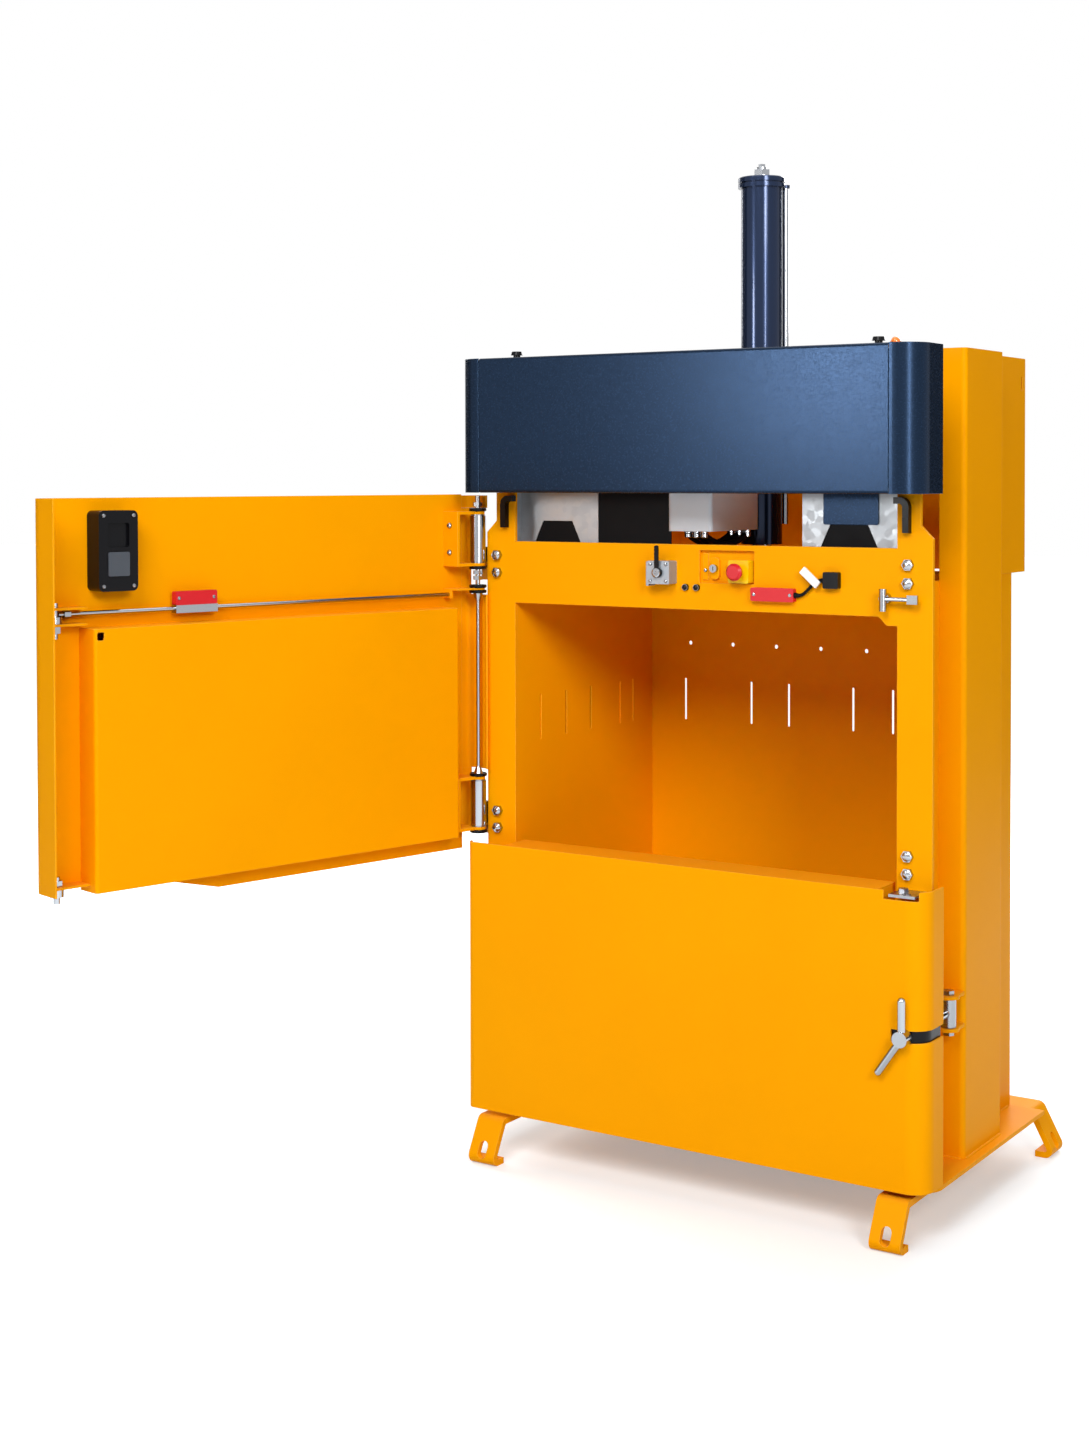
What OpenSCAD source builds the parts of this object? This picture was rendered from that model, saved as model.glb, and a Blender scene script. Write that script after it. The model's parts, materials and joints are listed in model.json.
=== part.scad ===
// Vertical recycling baler with a side-hung loading door and a bale door.
// X runs to the right, Y to the back, Z up. The origin is on the floor, on the
// centre line, under the front face of the bale door.

/* [Body] */
// Width over the doors and the front cover
machine_w = 984; // [950:1:1040]
// Room at each side between the bale chamber and the machine's outside
side_room = 80; // [76:1:88]
// Height of the base plate's top above the floor
base_z = 96; // [80:1:130]
// Thickness of the base plate
base_t = 8; // [6:1:12]
// Radius of the base plate's front corners
base_r = 45; // [20:1:80]
// Y of the back wall's inner face
back_y = 600; // [570:1:640]
// Thickness of the chamber walls
wall_t = 4; // [3:0.5:6]

/* [Strap slots] */
// Width of a strap slot
slot_w = 6; // [4:0.5:10]
// Length of a strap slot
slot_len = 92; // [60:1:140]
// Diameter of the small holes in the back wall
vent_d = 9; // [5:0.5:14]

/* [Columns and frame] */
// Width of a column across the machine
column_w = 52; // [44:1:56]
// Depth of a column
column_d = 190; // [170:1:210]
// Thickness of the column's sheet
column_t = 6; // [4:0.5:8]
// Depth of the doors before the front frame's face
frame_y = 58; // [57:0.5:62]
// Thickness of the front frame's plate
frame_t = 8; // [6:0.5:10]
// Height of the loading mouth between the bale door and the beam
mouth_h = 479; // [440:1:520]
// Height of the beam
beam_h = 123; // [118:1:135]
// Depth of the beam's folded flanges behind the frame plate
beam_flange = 14; // [8:1:18]
// Height of the crosshead
crosshead_h = 90; // [70:1:110]
// Depth of the crosshead
crosshead_d = 120; // [100:1:140]

/* [Feet] */
// Width of the feet's flat bar
foot_w = 60; // [40:1:80]
// Thickness of the feet's flat bar
foot_t = 12; // [8:0.5:15]
// Inner bend radius of the feet
foot_r = 4; // [3:0.5:8]
// Angle that a leg makes with the floor
foot_angle = 62; // [45:1:75]
// Length of the flat sole
foot_pad = 20; // [12:1:40]
// Width of the slot through a leg
foot_slot = 20; // [10:1:26]
// Reach of the front feet before the bale door
front_foot_reach = 38; // [20:1:60]

/* [Covers] */
// Height of the open gap between the beam and the front cover
head_gap = 98; // [80:1:120]
// Height of the front cover
cover_h = 264; // [230:1:300]
// Depth of the front cover before the front frame
cover_d = 93; // [80:1:120]
// Radius of the cover's curved ends
cover_r = 50; // [30:1:60]
// Thickness of the covers' sheet
cover_t = 2.5; // [1.5:0.5:4]
// Depth of the rear cover behind the back wall
rear_cover_d = 100; // [80:1:160]
// Radius of the rear cover's upright edges
rear_cover_r = 30; // [10:1:60]

/* [Hydraulics] */
// Y of the cylinder's axis
ram_y = 330; // [315:1:345]
// Outer diameter of the cylinder barrel
barrel_d = 82; // [76:1:90]
// Thickness of the cylinder barrel's wall
barrel_wall = 9; // [6:0.5:12]
// Height of the cylinder above the crosshead
barrel_rise = 397; // [340:1:460]
// Diameter of the piston rod
rod_d = 40; // [30:1:45]
// Height of the press plate over its ribs
press_h = 45; // [30:1:46]
// Clearance of the press plate to the chamber walls
press_gap = 10; // [6:1:16]

/* [Loading door] */
// Angle by which the loading door stands open
open_angle = 104; // [0:1:130]
// Distance of the skirt's lower edge below the sill
skirt_drop = 22; // [8:1:40]
// Distance of the free end's lower edge above the sill
free_rise = 22; // [14:1:40]
// Thickness of the loading door's sheet
door_t = 3; // [2:0.5:4]
// Radius of the doors' curved free end
door_r = 40; // [30:1:46]

/* [Bale door] */
// Thickness of the bale door's sheet
lower_t = 4; // [3:0.5:5]
// Height of the bale door
lower_h = 535; // [500:1:560]
// Radius of the bale door's hinged edge
lower_edge_r = 16; // [10:1:16]

/* [Hinges and lock] */
// Diameter of the loading door's hinge barrels
barrel_upper_d = 32; // [28:1:32]
// Diameter of the loading door's hinge pins
pin_upper_d = 20; // [14:1:22]
// Diameter of the bale door's hinge barrels
barrel_lower_d = 22; // [20:1:26]
// Diameter of the bale door's hinge pins
pin_lower_d = 14; // [10:1:16]
// Diameter of the lock screw
screw_d = 14; // [10:1:16]
// Diameter of the barrel nut
nut_d = 28; // [24:1:34]

/* [Fits] */
// Radial clearance of turning and sliding fits
run_gap = 0.05; // [0.02:0.01:0.1]
// Clearance of loose passages
pass_gap = 0.3; // [0.2:0.05:0.6]

/* [Hidden] */
$fn = 48;
bend_step = 7.5;

// Widths and depths
half_w = machine_w / 2;
chamber_w = machine_w - 2 * side_room;
wall_x = chamber_w / 2;
column_x = wall_x + wall_t;
column_out = column_x + column_w;
column_y = ram_y - 90;
frame_back = frame_y + frame_t;
upright_x = half_w - 12;
neck_fall = 23;
neck_x = upright_x - neck_fall;
base_w = machine_w - 8;
base_front = frame_y - 13;
base_back = back_y + wall_t + 8;
front_foot_x = wall_x + 20;
rear_foot_reach = half_w + 13;
cover_panel_w = machine_w - 2 * (cover_r + 6);
cover_y = frame_y - cover_d;
cover_back = frame_back + 7;
rear_cover_y = back_y + rear_cover_d;
plate_y = frame_back + 42;
cap_d = barrel_d + 12;
barrel_bore = barrel_d - 2 * barrel_wall;

// Heights from the floor up
lower_z = base_z + 3;
sill_z = lower_z + lower_h;
beam_z = sill_z + mouth_h;
beam_top = beam_z + beam_h;
cover_z = beam_top + head_gap;
cover_top = cover_z + cover_h;
column_top = cover_top + 4;
neck_z = beam_top + 18;
wall_top = beam_z + 58;
press_z = beam_z + 7;
crosshead_z = cover_z + 118;
crosshead_top = crosshead_z + crosshead_h;
barrel_z = beam_top - 6;
barrel_top = crosshead_top + barrel_rise;

// Strap slots and small holes
slot_z = beam_z - 283;
wall_slot_y = back_y * [0.25, 0.41, 0.57, 0.77, 0.86];
back_slot_x = wall_x * [-0.794, -0.4, -0.182, 0.182, 0.4, 0.794];
vent_z = beam_z - 113;
vent_count = 7;
vent_pitch = chamber_w / (vent_count + 0.85);
vent_first = -(vent_count - 1) / 2 * vent_pitch;

// Hinge axis
hinge_x = 4 - half_w;
hinge_y = frame_y - 22;

// Loading door
upper_top = cover_z - 4;
upper_y = -door_t - 3;
upper_skin_x = hinge_x + 10;
skirt_z = sill_z - skirt_drop;
skirt_slope_start = half_w - 382;
skirt_slope_end = half_w - 192;
free_end_z = sill_z + free_rise;
door_return = frame_y + 24;
panel_x = hinge_x + 64;
panel_y = frame_y - 8;
panel_end = wall_x - 14;
panel_top = beam_z - 9;
panel_bottom = skirt_z + 34;
panel_t = 3;
shelf_x = panel_end;
shelf_y = 32;
shelf_t = 4;
shelf_low = beam_z - 3;
shelf_high = shelf_low + 28;
bolt_x = half_w - 41;
bolt_y = 13;
tie_y = 13;
tie_z = shelf_low + 20;
tie_d = 8;
lock_box_x = wall_x - 112;
lock_box_w = 78;
lock_box_z = beam_z + 54;
lock_box_h = 141;
lock_box_y = 37;
button_size = 42;
button_z = lock_box_z + 26;

// Bale door
lower_depth = frame_back + beam_flange;
lower_left = 8 - wall_x;
lower_right = wall_x - 12;

// Hinges
upper_barrels = [[sill_z + 29, 90], [beam_z + 82, 92]];
lower_barrels = [[lower_z + 71, 70], [sill_z - 134, 70]];
leaf_t = 6;
leaf_w = 60;
leaf_x = hinge_x - 12;
leaf_room = 3;
stud_d = 10;
stud_nut = 17;
stud_nut_h = 8;
pin_end = 6;
pin_head = 5;
bracket_t = 6;
bracket_gap = 3;
bracket_end = hinge_x + 58;
bracket_back = frame_y - 16;
lower_bracket_end = hinge_x + 70;
hinge_bolt_x = hinge_x + 34;
hinge_bolts = [sill_z + 24, sill_z + 58, beam_z + 60, beam_z + 95];
keep_bolt_x = wall_x + 22;
keep_bolts = [sill_z + 21, sill_z + 53, beam_z + 61, beam_z + 94];
bolt_d = 12;
bolt_flat = 19;
bolt_head = 8;

// Beam fittings
window_x = 9;
window_w = 116;
window_z = beam_z + 51;
window_h = 62;
panel_back_t = 3;
estop_x = 100;
estop_z = beam_z + 74.5;
estop_w = 43;
estop_front = frame_y - 16;
estop_stem = 16;
estop_cap = 32;
key_x = 41;
key_z = beam_z + 79;
key_d = 15;
key_stem = 12;
key_plate_t = 6;
limit_x = -64;
limit_z = beam_z + 70;
limit_w = 48;
limit_h = 44;
limit_front = frame_y - 30;
limit_stem = 10;
sensor_x = 124;
sensor_z = beam_z + 21;
sensor_w = 88;
sensor_h = 25;
sensor_d = 13;
socket_x = 272;
socket_z = beam_z + 48;
socket_w = 30;
socket_d = 14;
lead_d = 6;
lead_r = 22;
latch_x = wall_x - 20;
latch_z = beam_z + 33;
latch_pin = 12;

// Pipe beside the cylinder
pipe_d = 12;
pipe_turn = 33;
pipe_r = barrel_d / 2 + pipe_d / 2 + 0.5;
cap_h = 21;
collar_h = 18;

// Oil tank before the cylinder, and the screens beside it
tank_w = 96;
tank_x = 16 - tank_w;
tank_y = frame_back + 26;
tank_d = ram_y - barrel_d / 2 - 1 - tank_y;
tank_z = beam_top + 24;
motor_x = 158 - wall_x;
plate_t = 2;
plate_out = wall_x + 20;
plate_low = beam_top - 16;
plate_high = beam_top + 184;
right_plate = wall_x * [0.515, 0.42, 0.15];
left_plate = wall_x * [0.4, 0.296, 0.041];

// Lock
lock_x = half_w - 39;
lock_z = lower_z + 279;
nut_y = column_y - 40;
lug_t = 6;
lug_w = 40;
nut_h = 52;
nut_pin = 12;
lock_slot_h = 22;
lock_slot_x = lock_x - 26;
tip_y = nut_y - nut_d / 2 - 1;

paint = [1.0, 0.64, 0.03];
cover_blue = [0.13, 0.18, 0.29];
zinc = [0.75, 0.77, 0.78];
steel = [0.6, 0.62, 0.64];
black = [0.06, 0.06, 0.07];
signal_red = [0.85, 0.09, 0.1];

// Sector of a ring that starts at angle `from` and turns by `turn`
module ring_sector(r_in, r_out, from, turn) {
    reach = 2 * r_out;
    intersection() {
        difference() {
            circle(r_out);
            circle(r_in);
        }
        polygon([
            [0, 0],
            reach * [cos(from), sin(from)],
            reach * [cos(from + turn / 2), sin(from + turn / 2)],
            reach * [cos(from + turn), sin(from + turn)]
        ]);
    }
}

// Edge view of a folded strip. Each step is [straight length, turn, inner radius]
// and the strip lies on the left of its path.
module bent_strip(path, t, i = 0) {
    run = path[i][0];
    turn = path[i][1];
    r = path[i][2];
    if (run > 0) square([run, t]);
    if (turn > 0) {
        translate([run, t + r]) {
            ring_sector(r, r + t, -90, turn);
            if (i + 1 < len(path)) rotate(turn) translate([0, -t - r]) bent_strip(path, t, i + 1);
        }
    } else if (turn < 0) {
        translate([run, -r]) {
            ring_sector(r, r + t, 90, turn);
            if (i + 1 < len(path)) rotate(turn) translate([0, r]) bent_strip(path, t, i + 1);
        }
    }
}

// Round bar bent in the XZ plane. Each step is [straight length, turn, bend radius].
module bent_rod(path, d, i = 0) {
    run = path[i][0];
    turn = path[i][1];
    r = path[i][2];
    if (run > 0) rotate([0, 90, 0]) cylinder(d = d, h = run);
    if (turn != 0) {
        side = sign(turn);
        translate([run, 0, side * r]) {
            rotate([90, 0, 0]) rotate([0, 0, side > 0 ? -90 : 90 + turn])
                rotate_extrude(angle = abs(turn)) translate([r, 0]) circle(d = d);
            if (i + 1 < len(path)) rotate([0, -turn, 0]) translate([0, 0, -side * r])
                bent_rod(path, d, i + 1);
        }
    }
}

// Plate with a 2D outline in X and Z, its front face at y
module front_plate(y, t) {
    translate([0, y + t, 0]) rotate([90, 0, 0]) linear_extrude(t) children();
}

// Outline with round corners, from the origin
module round_rect(size, r) {
    translate([r, 0]) square([size[0] - 2 * r, size[1]]);
    translate([0, r]) square([size[0], size[1] - 2 * r]);
    for (x = [r, size[0] - r], y = [r, size[1] - r]) translate([x, y]) circle(r);
}

// Upright slot outline with round ends, from its lower end
module slot_2d(w, length) {
    translate([-w / 2, w / 2]) square([w, length - w]);
    for (z = [w / 2, length - w / 2]) translate([0, z]) circle(d = w);
}

// Hexagon bolt whose head lies before y = 0 and whose shank runs back
module hex_bolt(d, flat, head, shank) {
    rotate([90, 0, 0]) cylinder(d = flat / cos(30), h = head, $fn = 6);
    rotate([-90, 0, 0]) cylinder(d = d, h = shank);
}

// Round piece along Y from y0 to y1
module rod_y(d, y0, y1) {
    translate([0, y0, 0]) rotate([-90, 0, 0]) cylinder(d = d, h = y1 - y0);
}

// Moves the loading door from its closed place to where it stands open
module on_open_door() {
    translate([hinge_x, hinge_y, 0]) rotate([0, 0, -open_angle])
        translate([-hinge_x, -hinge_y, 0]) children();
}

// Body

module base_plate() {
    color(paint) translate([0, 0, base_z - base_t]) linear_extrude(base_t) {
        translate([-base_w / 2, base_front + base_r]) square([base_w, base_back - base_front - base_r]);
        translate([-base_w / 2 + base_r, base_front]) square([base_w - 2 * base_r, base_r]);
        for (side = [-1, 1]) translate([side * (base_w / 2 - base_r), base_front + base_r]) circle(base_r);
    }
}

// Points along one side of a bent bar, at `off` to the left of its path
function bar_side(path, t, off, at = [0, 0], head = 0, i = 0) =
    let (
        turn = path[i][1],
        side = turn > 0 ? t + path[i][2] : -path[i][2],
        hub = at + path[i][0] * [cos(head), sin(head)] + side * [-sin(head), cos(head)],
        steps = max(1, ceil(abs(turn) / bend_step)),
        out = head + turn
    )
    concat(
        [for (k = [0 : steps]) let (a = head + turn * k / steps) hub + (off - side) * [-sin(a), cos(a)]],
        i + 1 < len(path) ? bar_side(path, t, off, hub - side * [-sin(out), cos(out)], out, i + 1) : []
    );

// Edge view of a leg: top run, bend, leaning leg, bend and sole, outwards from x = 0
module leg_profile(run, top) {
    fold = foot_r + foot_t;
    leg = (top - 2 * fold) / sin(foot_angle);
    path = [[run, -foot_angle, foot_r], [leg, foot_angle - 180, foot_r]];
    right = bar_side(path, foot_t, 0);
    left = bar_side(path, foot_t, foot_t);
    last = len(left) - 1;
    translate([0, top - foot_t]) polygon(concat(
        [[0, 0]], right, [right[last] - [foot_pad, 0], left[last] - [foot_pad, 0]],
        [for (k = [0 : last]) left[last - k]], [[0, foot_t]]
    ));
}

// Distance from the end of the top run to the leg's foremost point
function leg_reach(top) = foot_r + foot_t + (top - 2 * (foot_r + foot_t)) / tan(foot_angle);

// Slot through the lower part of a leg, across the bar's width
module leg_slot(from, to) {
    low = foot_t + 1;
    translate([from, 0, low]) rotate([90, 0, 90]) linear_extrude(to - from) slot_2d(foot_slot, 2.7 * foot_t);
}

// One leg that points along +X, with the bar's middle on y = 0
module leg(run, top) {
    difference() {
        translate([0, foot_w / 2, 0]) rotate([90, 0, 0]) linear_extrude(foot_w) leg_profile(run, top);
        leg_slot(run + 4, run + leg_reach(top) + 1);
    }
}

module front_feet() {
    top = base_z - base_t;
    bend_y = leg_reach(top) - front_foot_reach;
    back = base_front + base_r + foot_w;
    color(paint) for (side = [-1, 1])
        translate([side * front_foot_x, back, 0]) rotate([0, 0, -90]) leg(back - bend_y, top);
}

module rear_foot_bar() {
    color(paint) translate([0, base_back + foot_w / 2, 0]) for (side = [0, 1])
        mirror([side, 0, 0]) leg(rear_foot_reach - leg_reach(base_z), base_z);
}

module side_wall() {
    translate([wall_x, 0, 0]) difference() {
        translate([0, frame_back, base_z]) cube([wall_t, base_back - frame_back, wall_top - base_z]);
        for (y = wall_slot_y)
            translate([-1, y, slot_z]) rotate([90, 0, 90]) linear_extrude(wall_t + 2)
                slot_2d(slot_w, slot_len);
    }
}

module left_wall() {
    color(paint) mirror([1, 0, 0]) side_wall();
}

module right_wall() {
    color(paint) side_wall();
}

module back_wall() {
    color(paint) front_plate(back_y, wall_t) difference() {
        translate([-wall_x, base_z]) square([chamber_w, wall_top - base_z]);
        for (x = back_slot_x) translate([x, slot_z]) slot_2d(slot_w, slot_len);
        for (i = [0 : vent_count - 1]) translate([vent_first + i * vent_pitch, vent_z]) circle(d = vent_d);
    }
}

module column() {
    r = 4;
    fold = r + column_t;
    translate([column_x, column_y, base_z]) linear_extrude(column_top - base_z) bent_strip([
        [column_w - fold, 90, r], [column_d - 2 * fold, 90, r], [column_w - fold, 0, 0]
    ], column_t);
}

module left_column() {
    color(paint) mirror([1, 0, 0]) column();
}

module right_column() {
    color(paint) column();
}

// Half of an upright pair: wide below, narrow behind the cover
module upright_2d() {
    polygon([
        [wall_x, base_z], [upright_x, base_z], [upright_x, neck_z],
        [neck_x, neck_z + neck_fall], [neck_x, cover_top], [wall_x, cover_top]
    ]);
}

module front_frame() {
    gusset = 16;
    gusset_shelf = 20;
    notch_x = lock_x - screw_d;
    notch_h = 40;
    color(paint) {
        front_plate(frame_y, frame_t) difference() {
            union() {
                for (side = [0, 1]) mirror([side, 0]) upright_2d();
                translate([-wall_x, beam_z]) square([chamber_w, beam_h]);
                polygon([
                    [wall_x, beam_z], [wall_x, beam_z - gusset], [wall_x - gusset_shelf, beam_z - gusset],
                    [wall_x - gusset_shelf - gusset, beam_z]
                ]);
            }
            translate([window_x, window_z]) square([window_w, window_h]);
            translate([notch_x, lock_z - notch_h / 2]) square([upright_x - notch_x + 1, notch_h]);
            for (z = hinge_bolts) translate([hinge_bolt_x, z]) circle(d = bolt_d + 2 * pass_gap);
            for (z = keep_bolts) translate([keep_bolt_x, z]) circle(d = bolt_d + 2 * pass_gap);
            translate([latch_x, latch_z]) circle(d = latch_pin + 2 * run_gap);
        }
        for (z = [beam_z, beam_top - wall_t])
            translate([-wall_x, frame_back, z]) cube([chamber_w, beam_flange, wall_t]);
    }
}

module crosshead() {
    web = 8;
    length = 2 * (column_out - column_t);
    color(paint) difference() {
        translate([-length / 2, ram_y - crosshead_d / 2, crosshead_z])
            cube([length, crosshead_d, crosshead_h]);
        translate([-length / 2 - 1, ram_y - crosshead_d / 2 + web, crosshead_z + web])
            cube([length + 2, crosshead_d - 2 * web, crosshead_h - 2 * web]);
        translate([0, ram_y, crosshead_z - 1]) cylinder(d = barrel_d + 2 * pass_gap, h = crosshead_h + 2);
    }
}

// Covers

module front_cover() {
    r = 3;
    fold = r + cover_t;
    top_run = frame_y - cover_y - fold;
    bottom_run = 0.5 * top_run;
    seam = 1.5;
    width = cover_panel_w - 2 * seam;
    color(cover_blue) translate([width / 2, cover_y + fold, cover_top]) rotate([90, 0, -90])
        translate([-top_run, 0]) linear_extrude(width) mirror([0, 1]) bent_strip([
            [top_run, 90, r], [cover_h - 2 * fold, 90, r], [bottom_run, 0, 0]
        ], cover_t);
}

module cover_ends() {
    flat = half_w - cover_panel_w / 2 - cover_r;
    lap = 15;
    lap_edge = 10;
    at = [cover_panel_w / 2, cover_y, cover_z];
    color(cover_blue) for (side = [0, 1]) mirror([side, 0, 0]) translate(at) {
        linear_extrude(cover_h) bent_strip([
            [flat, 90, cover_r - cover_t], [cover_back - cover_y - cover_r, 0, 0]
        ], cover_t);
        translate([-lap, cover_t, lap_edge]) cube([lap + flat, cover_t, cover_h - 2 * lap_edge]);
    }
}

module cover_knobs() {
    y = cover_y + 27;
    neck_d = 14;
    neck_h = 5;
    knob_d = 24;
    knob_h = 7;
    edge = cover_panel_w / 2;
    color(black) for (x = [edge - 31, 74 - edge]) translate([x, y, cover_top]) {
        cylinder(d = neck_d, h = neck_h);
        translate([0, 0, neck_h]) cylinder(d1 = knob_d, d2 = knob_d - 4, h = knob_h);
    }
}

module indicator_lamp() {
    x = cover_panel_w / 2 - 14;
    y = cover_y + 61;
    base_d = 20;
    base_h = 5;
    lens_d = 17;
    color([1, 0.45, 0.05]) translate([x, y, cover_top]) {
        cylinder(d = base_d, h = base_h);
        translate([0, 0, base_h]) intersection() {
            sphere(d = lens_d);
            cylinder(d = base_d, h = lens_d / 2 + 1);
        }
    }
}

module rear_cover() {
    side = column_x + 4;
    front = column_y + column_d;
    turn_r = rear_cover_r - cover_t;
    run = rear_cover_y - front - rear_cover_r;
    slot_y = rear_cover_y - rear_cover_r - 14;
    vent_w = 8;
    vent_len = 30;
    vent_low = column_top - 66;
    color(paint) difference() {
        translate([0, 0, wall_top]) {
            linear_extrude(column_top - wall_top) translate([side, front]) rotate(90) bent_strip([
                [run, 90, turn_r], [2 * (side - rear_cover_r), 90, turn_r], [run, 0, 0]
            ], cover_t);
            translate([0, 0, column_top - wall_top - cover_t]) linear_extrude(cover_t) {
                translate([-side + cover_t, front]) square([2 * (side - cover_t), run]);
                translate([-side + rear_cover_r, front]) square([2 * (side - rear_cover_r), run + turn_r]);
            }
        }
        translate([-side - 1, slot_y, vent_low]) rotate([90, 0, 90]) linear_extrude(2 * side + 2)
            slot_2d(vent_w, vent_len);
    }
}

// Hydraulics

module cylinder_barrel() {
    gland = 32;
    collar_d = barrel_d + 48;
    color(cover_blue) translate([0, ram_y, 0]) difference() {
        union() {
            translate([0, 0, barrel_z]) cylinder(d = barrel_d, h = barrel_top - barrel_z);
            translate([0, 0, crosshead_top]) cylinder(d = collar_d, h = collar_h);
        }
        translate([0, 0, barrel_z + gland]) cylinder(d = barrel_bore, h = barrel_top - barrel_z);
        translate([0, 0, barrel_z - 1]) cylinder(d = rod_d + 2 * run_gap, h = gland + 2);
    }
}

module cylinder_cap() {
    low_h = 8;
    groove_h = 3;
    groove = 4;
    edge = 2;
    lobe_h = 6;
    color(cover_blue) translate([0, ram_y, barrel_top]) {
        cylinder(d = cap_d, h = low_h);
        translate([0, 0, low_h]) cylinder(d = cap_d - 2 * groove, h = groove_h);
        translate([0, 0, low_h + groove_h]) cylinder(d = cap_d, h = cap_h - low_h - groove_h - edge);
        translate([0, 0, cap_h - edge]) cylinder(d1 = cap_d, d2 = cap_d - 2 * edge, h = edge);
        rotate([0, 0, pipe_turn]) translate([pipe_r, 0, 0]) cylinder(d = pipe_d + 6, h = lobe_h);
    }
}

module cylinder_fitting() {
    flange_h = 4;
    nut = 12;
    stub = 5;
    plug = 6;
    color(zinc) translate([0, ram_y, barrel_top + cap_h]) {
        cylinder(d = 42, h = flange_h);
        translate([0, 0, flange_h]) cylinder(d = 34, h = nut, $fn = 6);
        translate([0, 0, flange_h + nut]) cylinder(d = 20, h = stub);
        translate([0, 0, flange_h + nut + stub]) cylinder(d = 15, h = plug, $fn = 6);
    }
}

module return_pipe() {
    low = barrel_z + 40;
    high = crosshead_top + collar_h;
    bore = 8;
    bore_h = 20;
    color(zinc) translate([0, ram_y, 0]) rotate([0, 0, pipe_turn]) translate([pipe_r, 0, 0]) {
        difference() {
            translate([0, 0, low]) cylinder(d = pipe_d, h = crosshead_z - low);
            translate([0, 0, low - 1]) cylinder(d = bore, h = bore_h);
        }
        translate([0, 0, high]) cylinder(d = pipe_d, h = barrel_top - high);
    }
}

module oil_tank() {
    r = 8;
    color([0.78, 0.8, 0.81]) translate([tank_x, tank_y, tank_z])
        linear_extrude(crosshead_z - tank_z) round_rect([tank_w, tank_d], r);
}

module pump_motor() {
    d = 150;
    z = tank_z + 30;
    h = crosshead_z - z;
    fins = 24;
    fin_d = 10;
    fin_t = 3;
    bell_d = 110;
    bell_h = 14;
    color(steel) translate([motor_x, ram_y, z]) {
        cylinder(d = d - 2 * fin_d + 4, h = h);
        for (i = [0 : fins - 1]) rotate([0, 0, i * 360 / fins])
            translate([d / 2 - fin_d, -fin_t / 2, bell_h]) cube([fin_d, fin_t, h - 3 * bell_h]);
        translate([0, 0, -bell_h]) cylinder(d = bell_d, h = bell_h);
    }
}

// Hoses that hang between fittings under the tank
module hydraulic_hoses() {
    hose_d = 12;
    fitting_d = 16;
    fitting_h = 14;
    start = [tank_x + 12, tank_y + 60];
    reach = [40, 100];
    step = 18;
    sag = 20;
    half = norm(reach) / 2;
    r = (half * half + sag * sag) / (2 * sag);
    spread = asin(half / r);
    color(black) for (i = [0 : 2]) translate([start[0] + i * step, start[1], tank_z - fitting_h]) {
        for (at = [[0, 0, 0], [reach[0], reach[1], 0]])
            translate(at) cylinder(d = fitting_d, h = fitting_h);
        translate([0, 0, fitting_h / 2]) rotate([0, 0, atan2(reach[1], reach[0])])
            translate([half, 0, r - sag]) rotate([90, 0, 0]) rotate([0, 0, -90 - spread])
                rotate_extrude(angle = 2 * spread) translate([r, 0]) circle(d = hose_d);
    }
}

module piston_rod() {
    piston_h = 40;
    piston_z = barrel_top - piston_h - 9;
    foot_z = press_z + press_h;
    flange_h = 12;
    color(zinc) translate([0, ram_y, 0]) {
        translate([0, 0, foot_z]) cylinder(d = rod_d, h = piston_z - foot_z);
        translate([0, 0, piston_z]) cylinder(d = barrel_bore - 2 * run_gap, h = piston_h);
        translate([0, 0, foot_z]) cylinder(d = 2 * rod_d, h = flange_h);
    }
}

module press_plate() {
    sole_t = 10;
    rib_t = 8;
    front = frame_back + beam_flange + 6;
    back = back_y - press_gap;
    w = chamber_w - 2 * press_gap;
    groove = 14;
    groove_h = 5;
    rib_y = 70;
    color(paint) difference() {
        union() {
            translate([-w / 2, front, press_z]) cube([w, back - front, sole_t]);
            for (x = [-w / 2, -w / 4, w / 4 - rib_t, w / 2 - rib_t])
                translate([x, front, press_z]) cube([rib_t, back - front, press_h]);
            for (y = [front, ram_y - rib_y, ram_y + rib_y, back - rib_t])
                translate([-w / 2, y, press_z]) cube([w, rib_t, press_h]);
            translate([0, ram_y, press_z]) cylinder(d = 3 * rod_d, h = press_h);
        }
        for (x = back_slot_x) translate([x - groove / 2, front - 1, press_z - 1])
            cube([groove, back - front + 2, groove_h + 1]);
    }
}

// Fittings behind the cover

// Angle plate whose inner edge and arch are measured back from the chamber wall
module bracket_plate(edges) {
    inner = wall_x - edges[0];
    arch_in = wall_x - edges[1];
    arch_out = wall_x - edges[2];
    arch_top = beam_top + 41;
    lean = 18;
    height = plate_high - plate_low;
    difference() {
        union() {
            front_plate(plate_y, plate_t) translate([inner, plate_low]) square([plate_out - inner, height]);
            translate([plate_out - plate_t, frame_back, plate_low])
                cube([plate_t, plate_y - frame_back, height]);
        }
        front_plate(plate_y - 1, plate_t + 2) polygon([
            [arch_in - lean / 2, plate_low - 1], [arch_out + lean / 2, plate_low - 1],
            [arch_out - lean, arch_top], [arch_in + lean, arch_top]
        ]);
    }
}

module bracket_plates() {
    color(zinc) bracket_plate(right_plate);
    color(zinc) mirror([1, 0, 0]) bracket_plate(left_plate);
}

// Dark sheets behind the angle plates, up to the tank on the left
module side_screens() {
    gap = 2;
    inset = 2;
    left_end = tank_x - gap;
    right_end = wall_x - right_plate[0];
    outer = plate_out - inset;
    color(black) translate([0, plate_y + plate_t, plate_low]) {
        translate([-outer, 0, 0]) cube([left_end + outer, plate_t, plate_high - plate_low]);
        translate([right_end, 0, 0]) cube([outer - right_end, plate_t, plate_high - plate_low]);
    }
}

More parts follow.
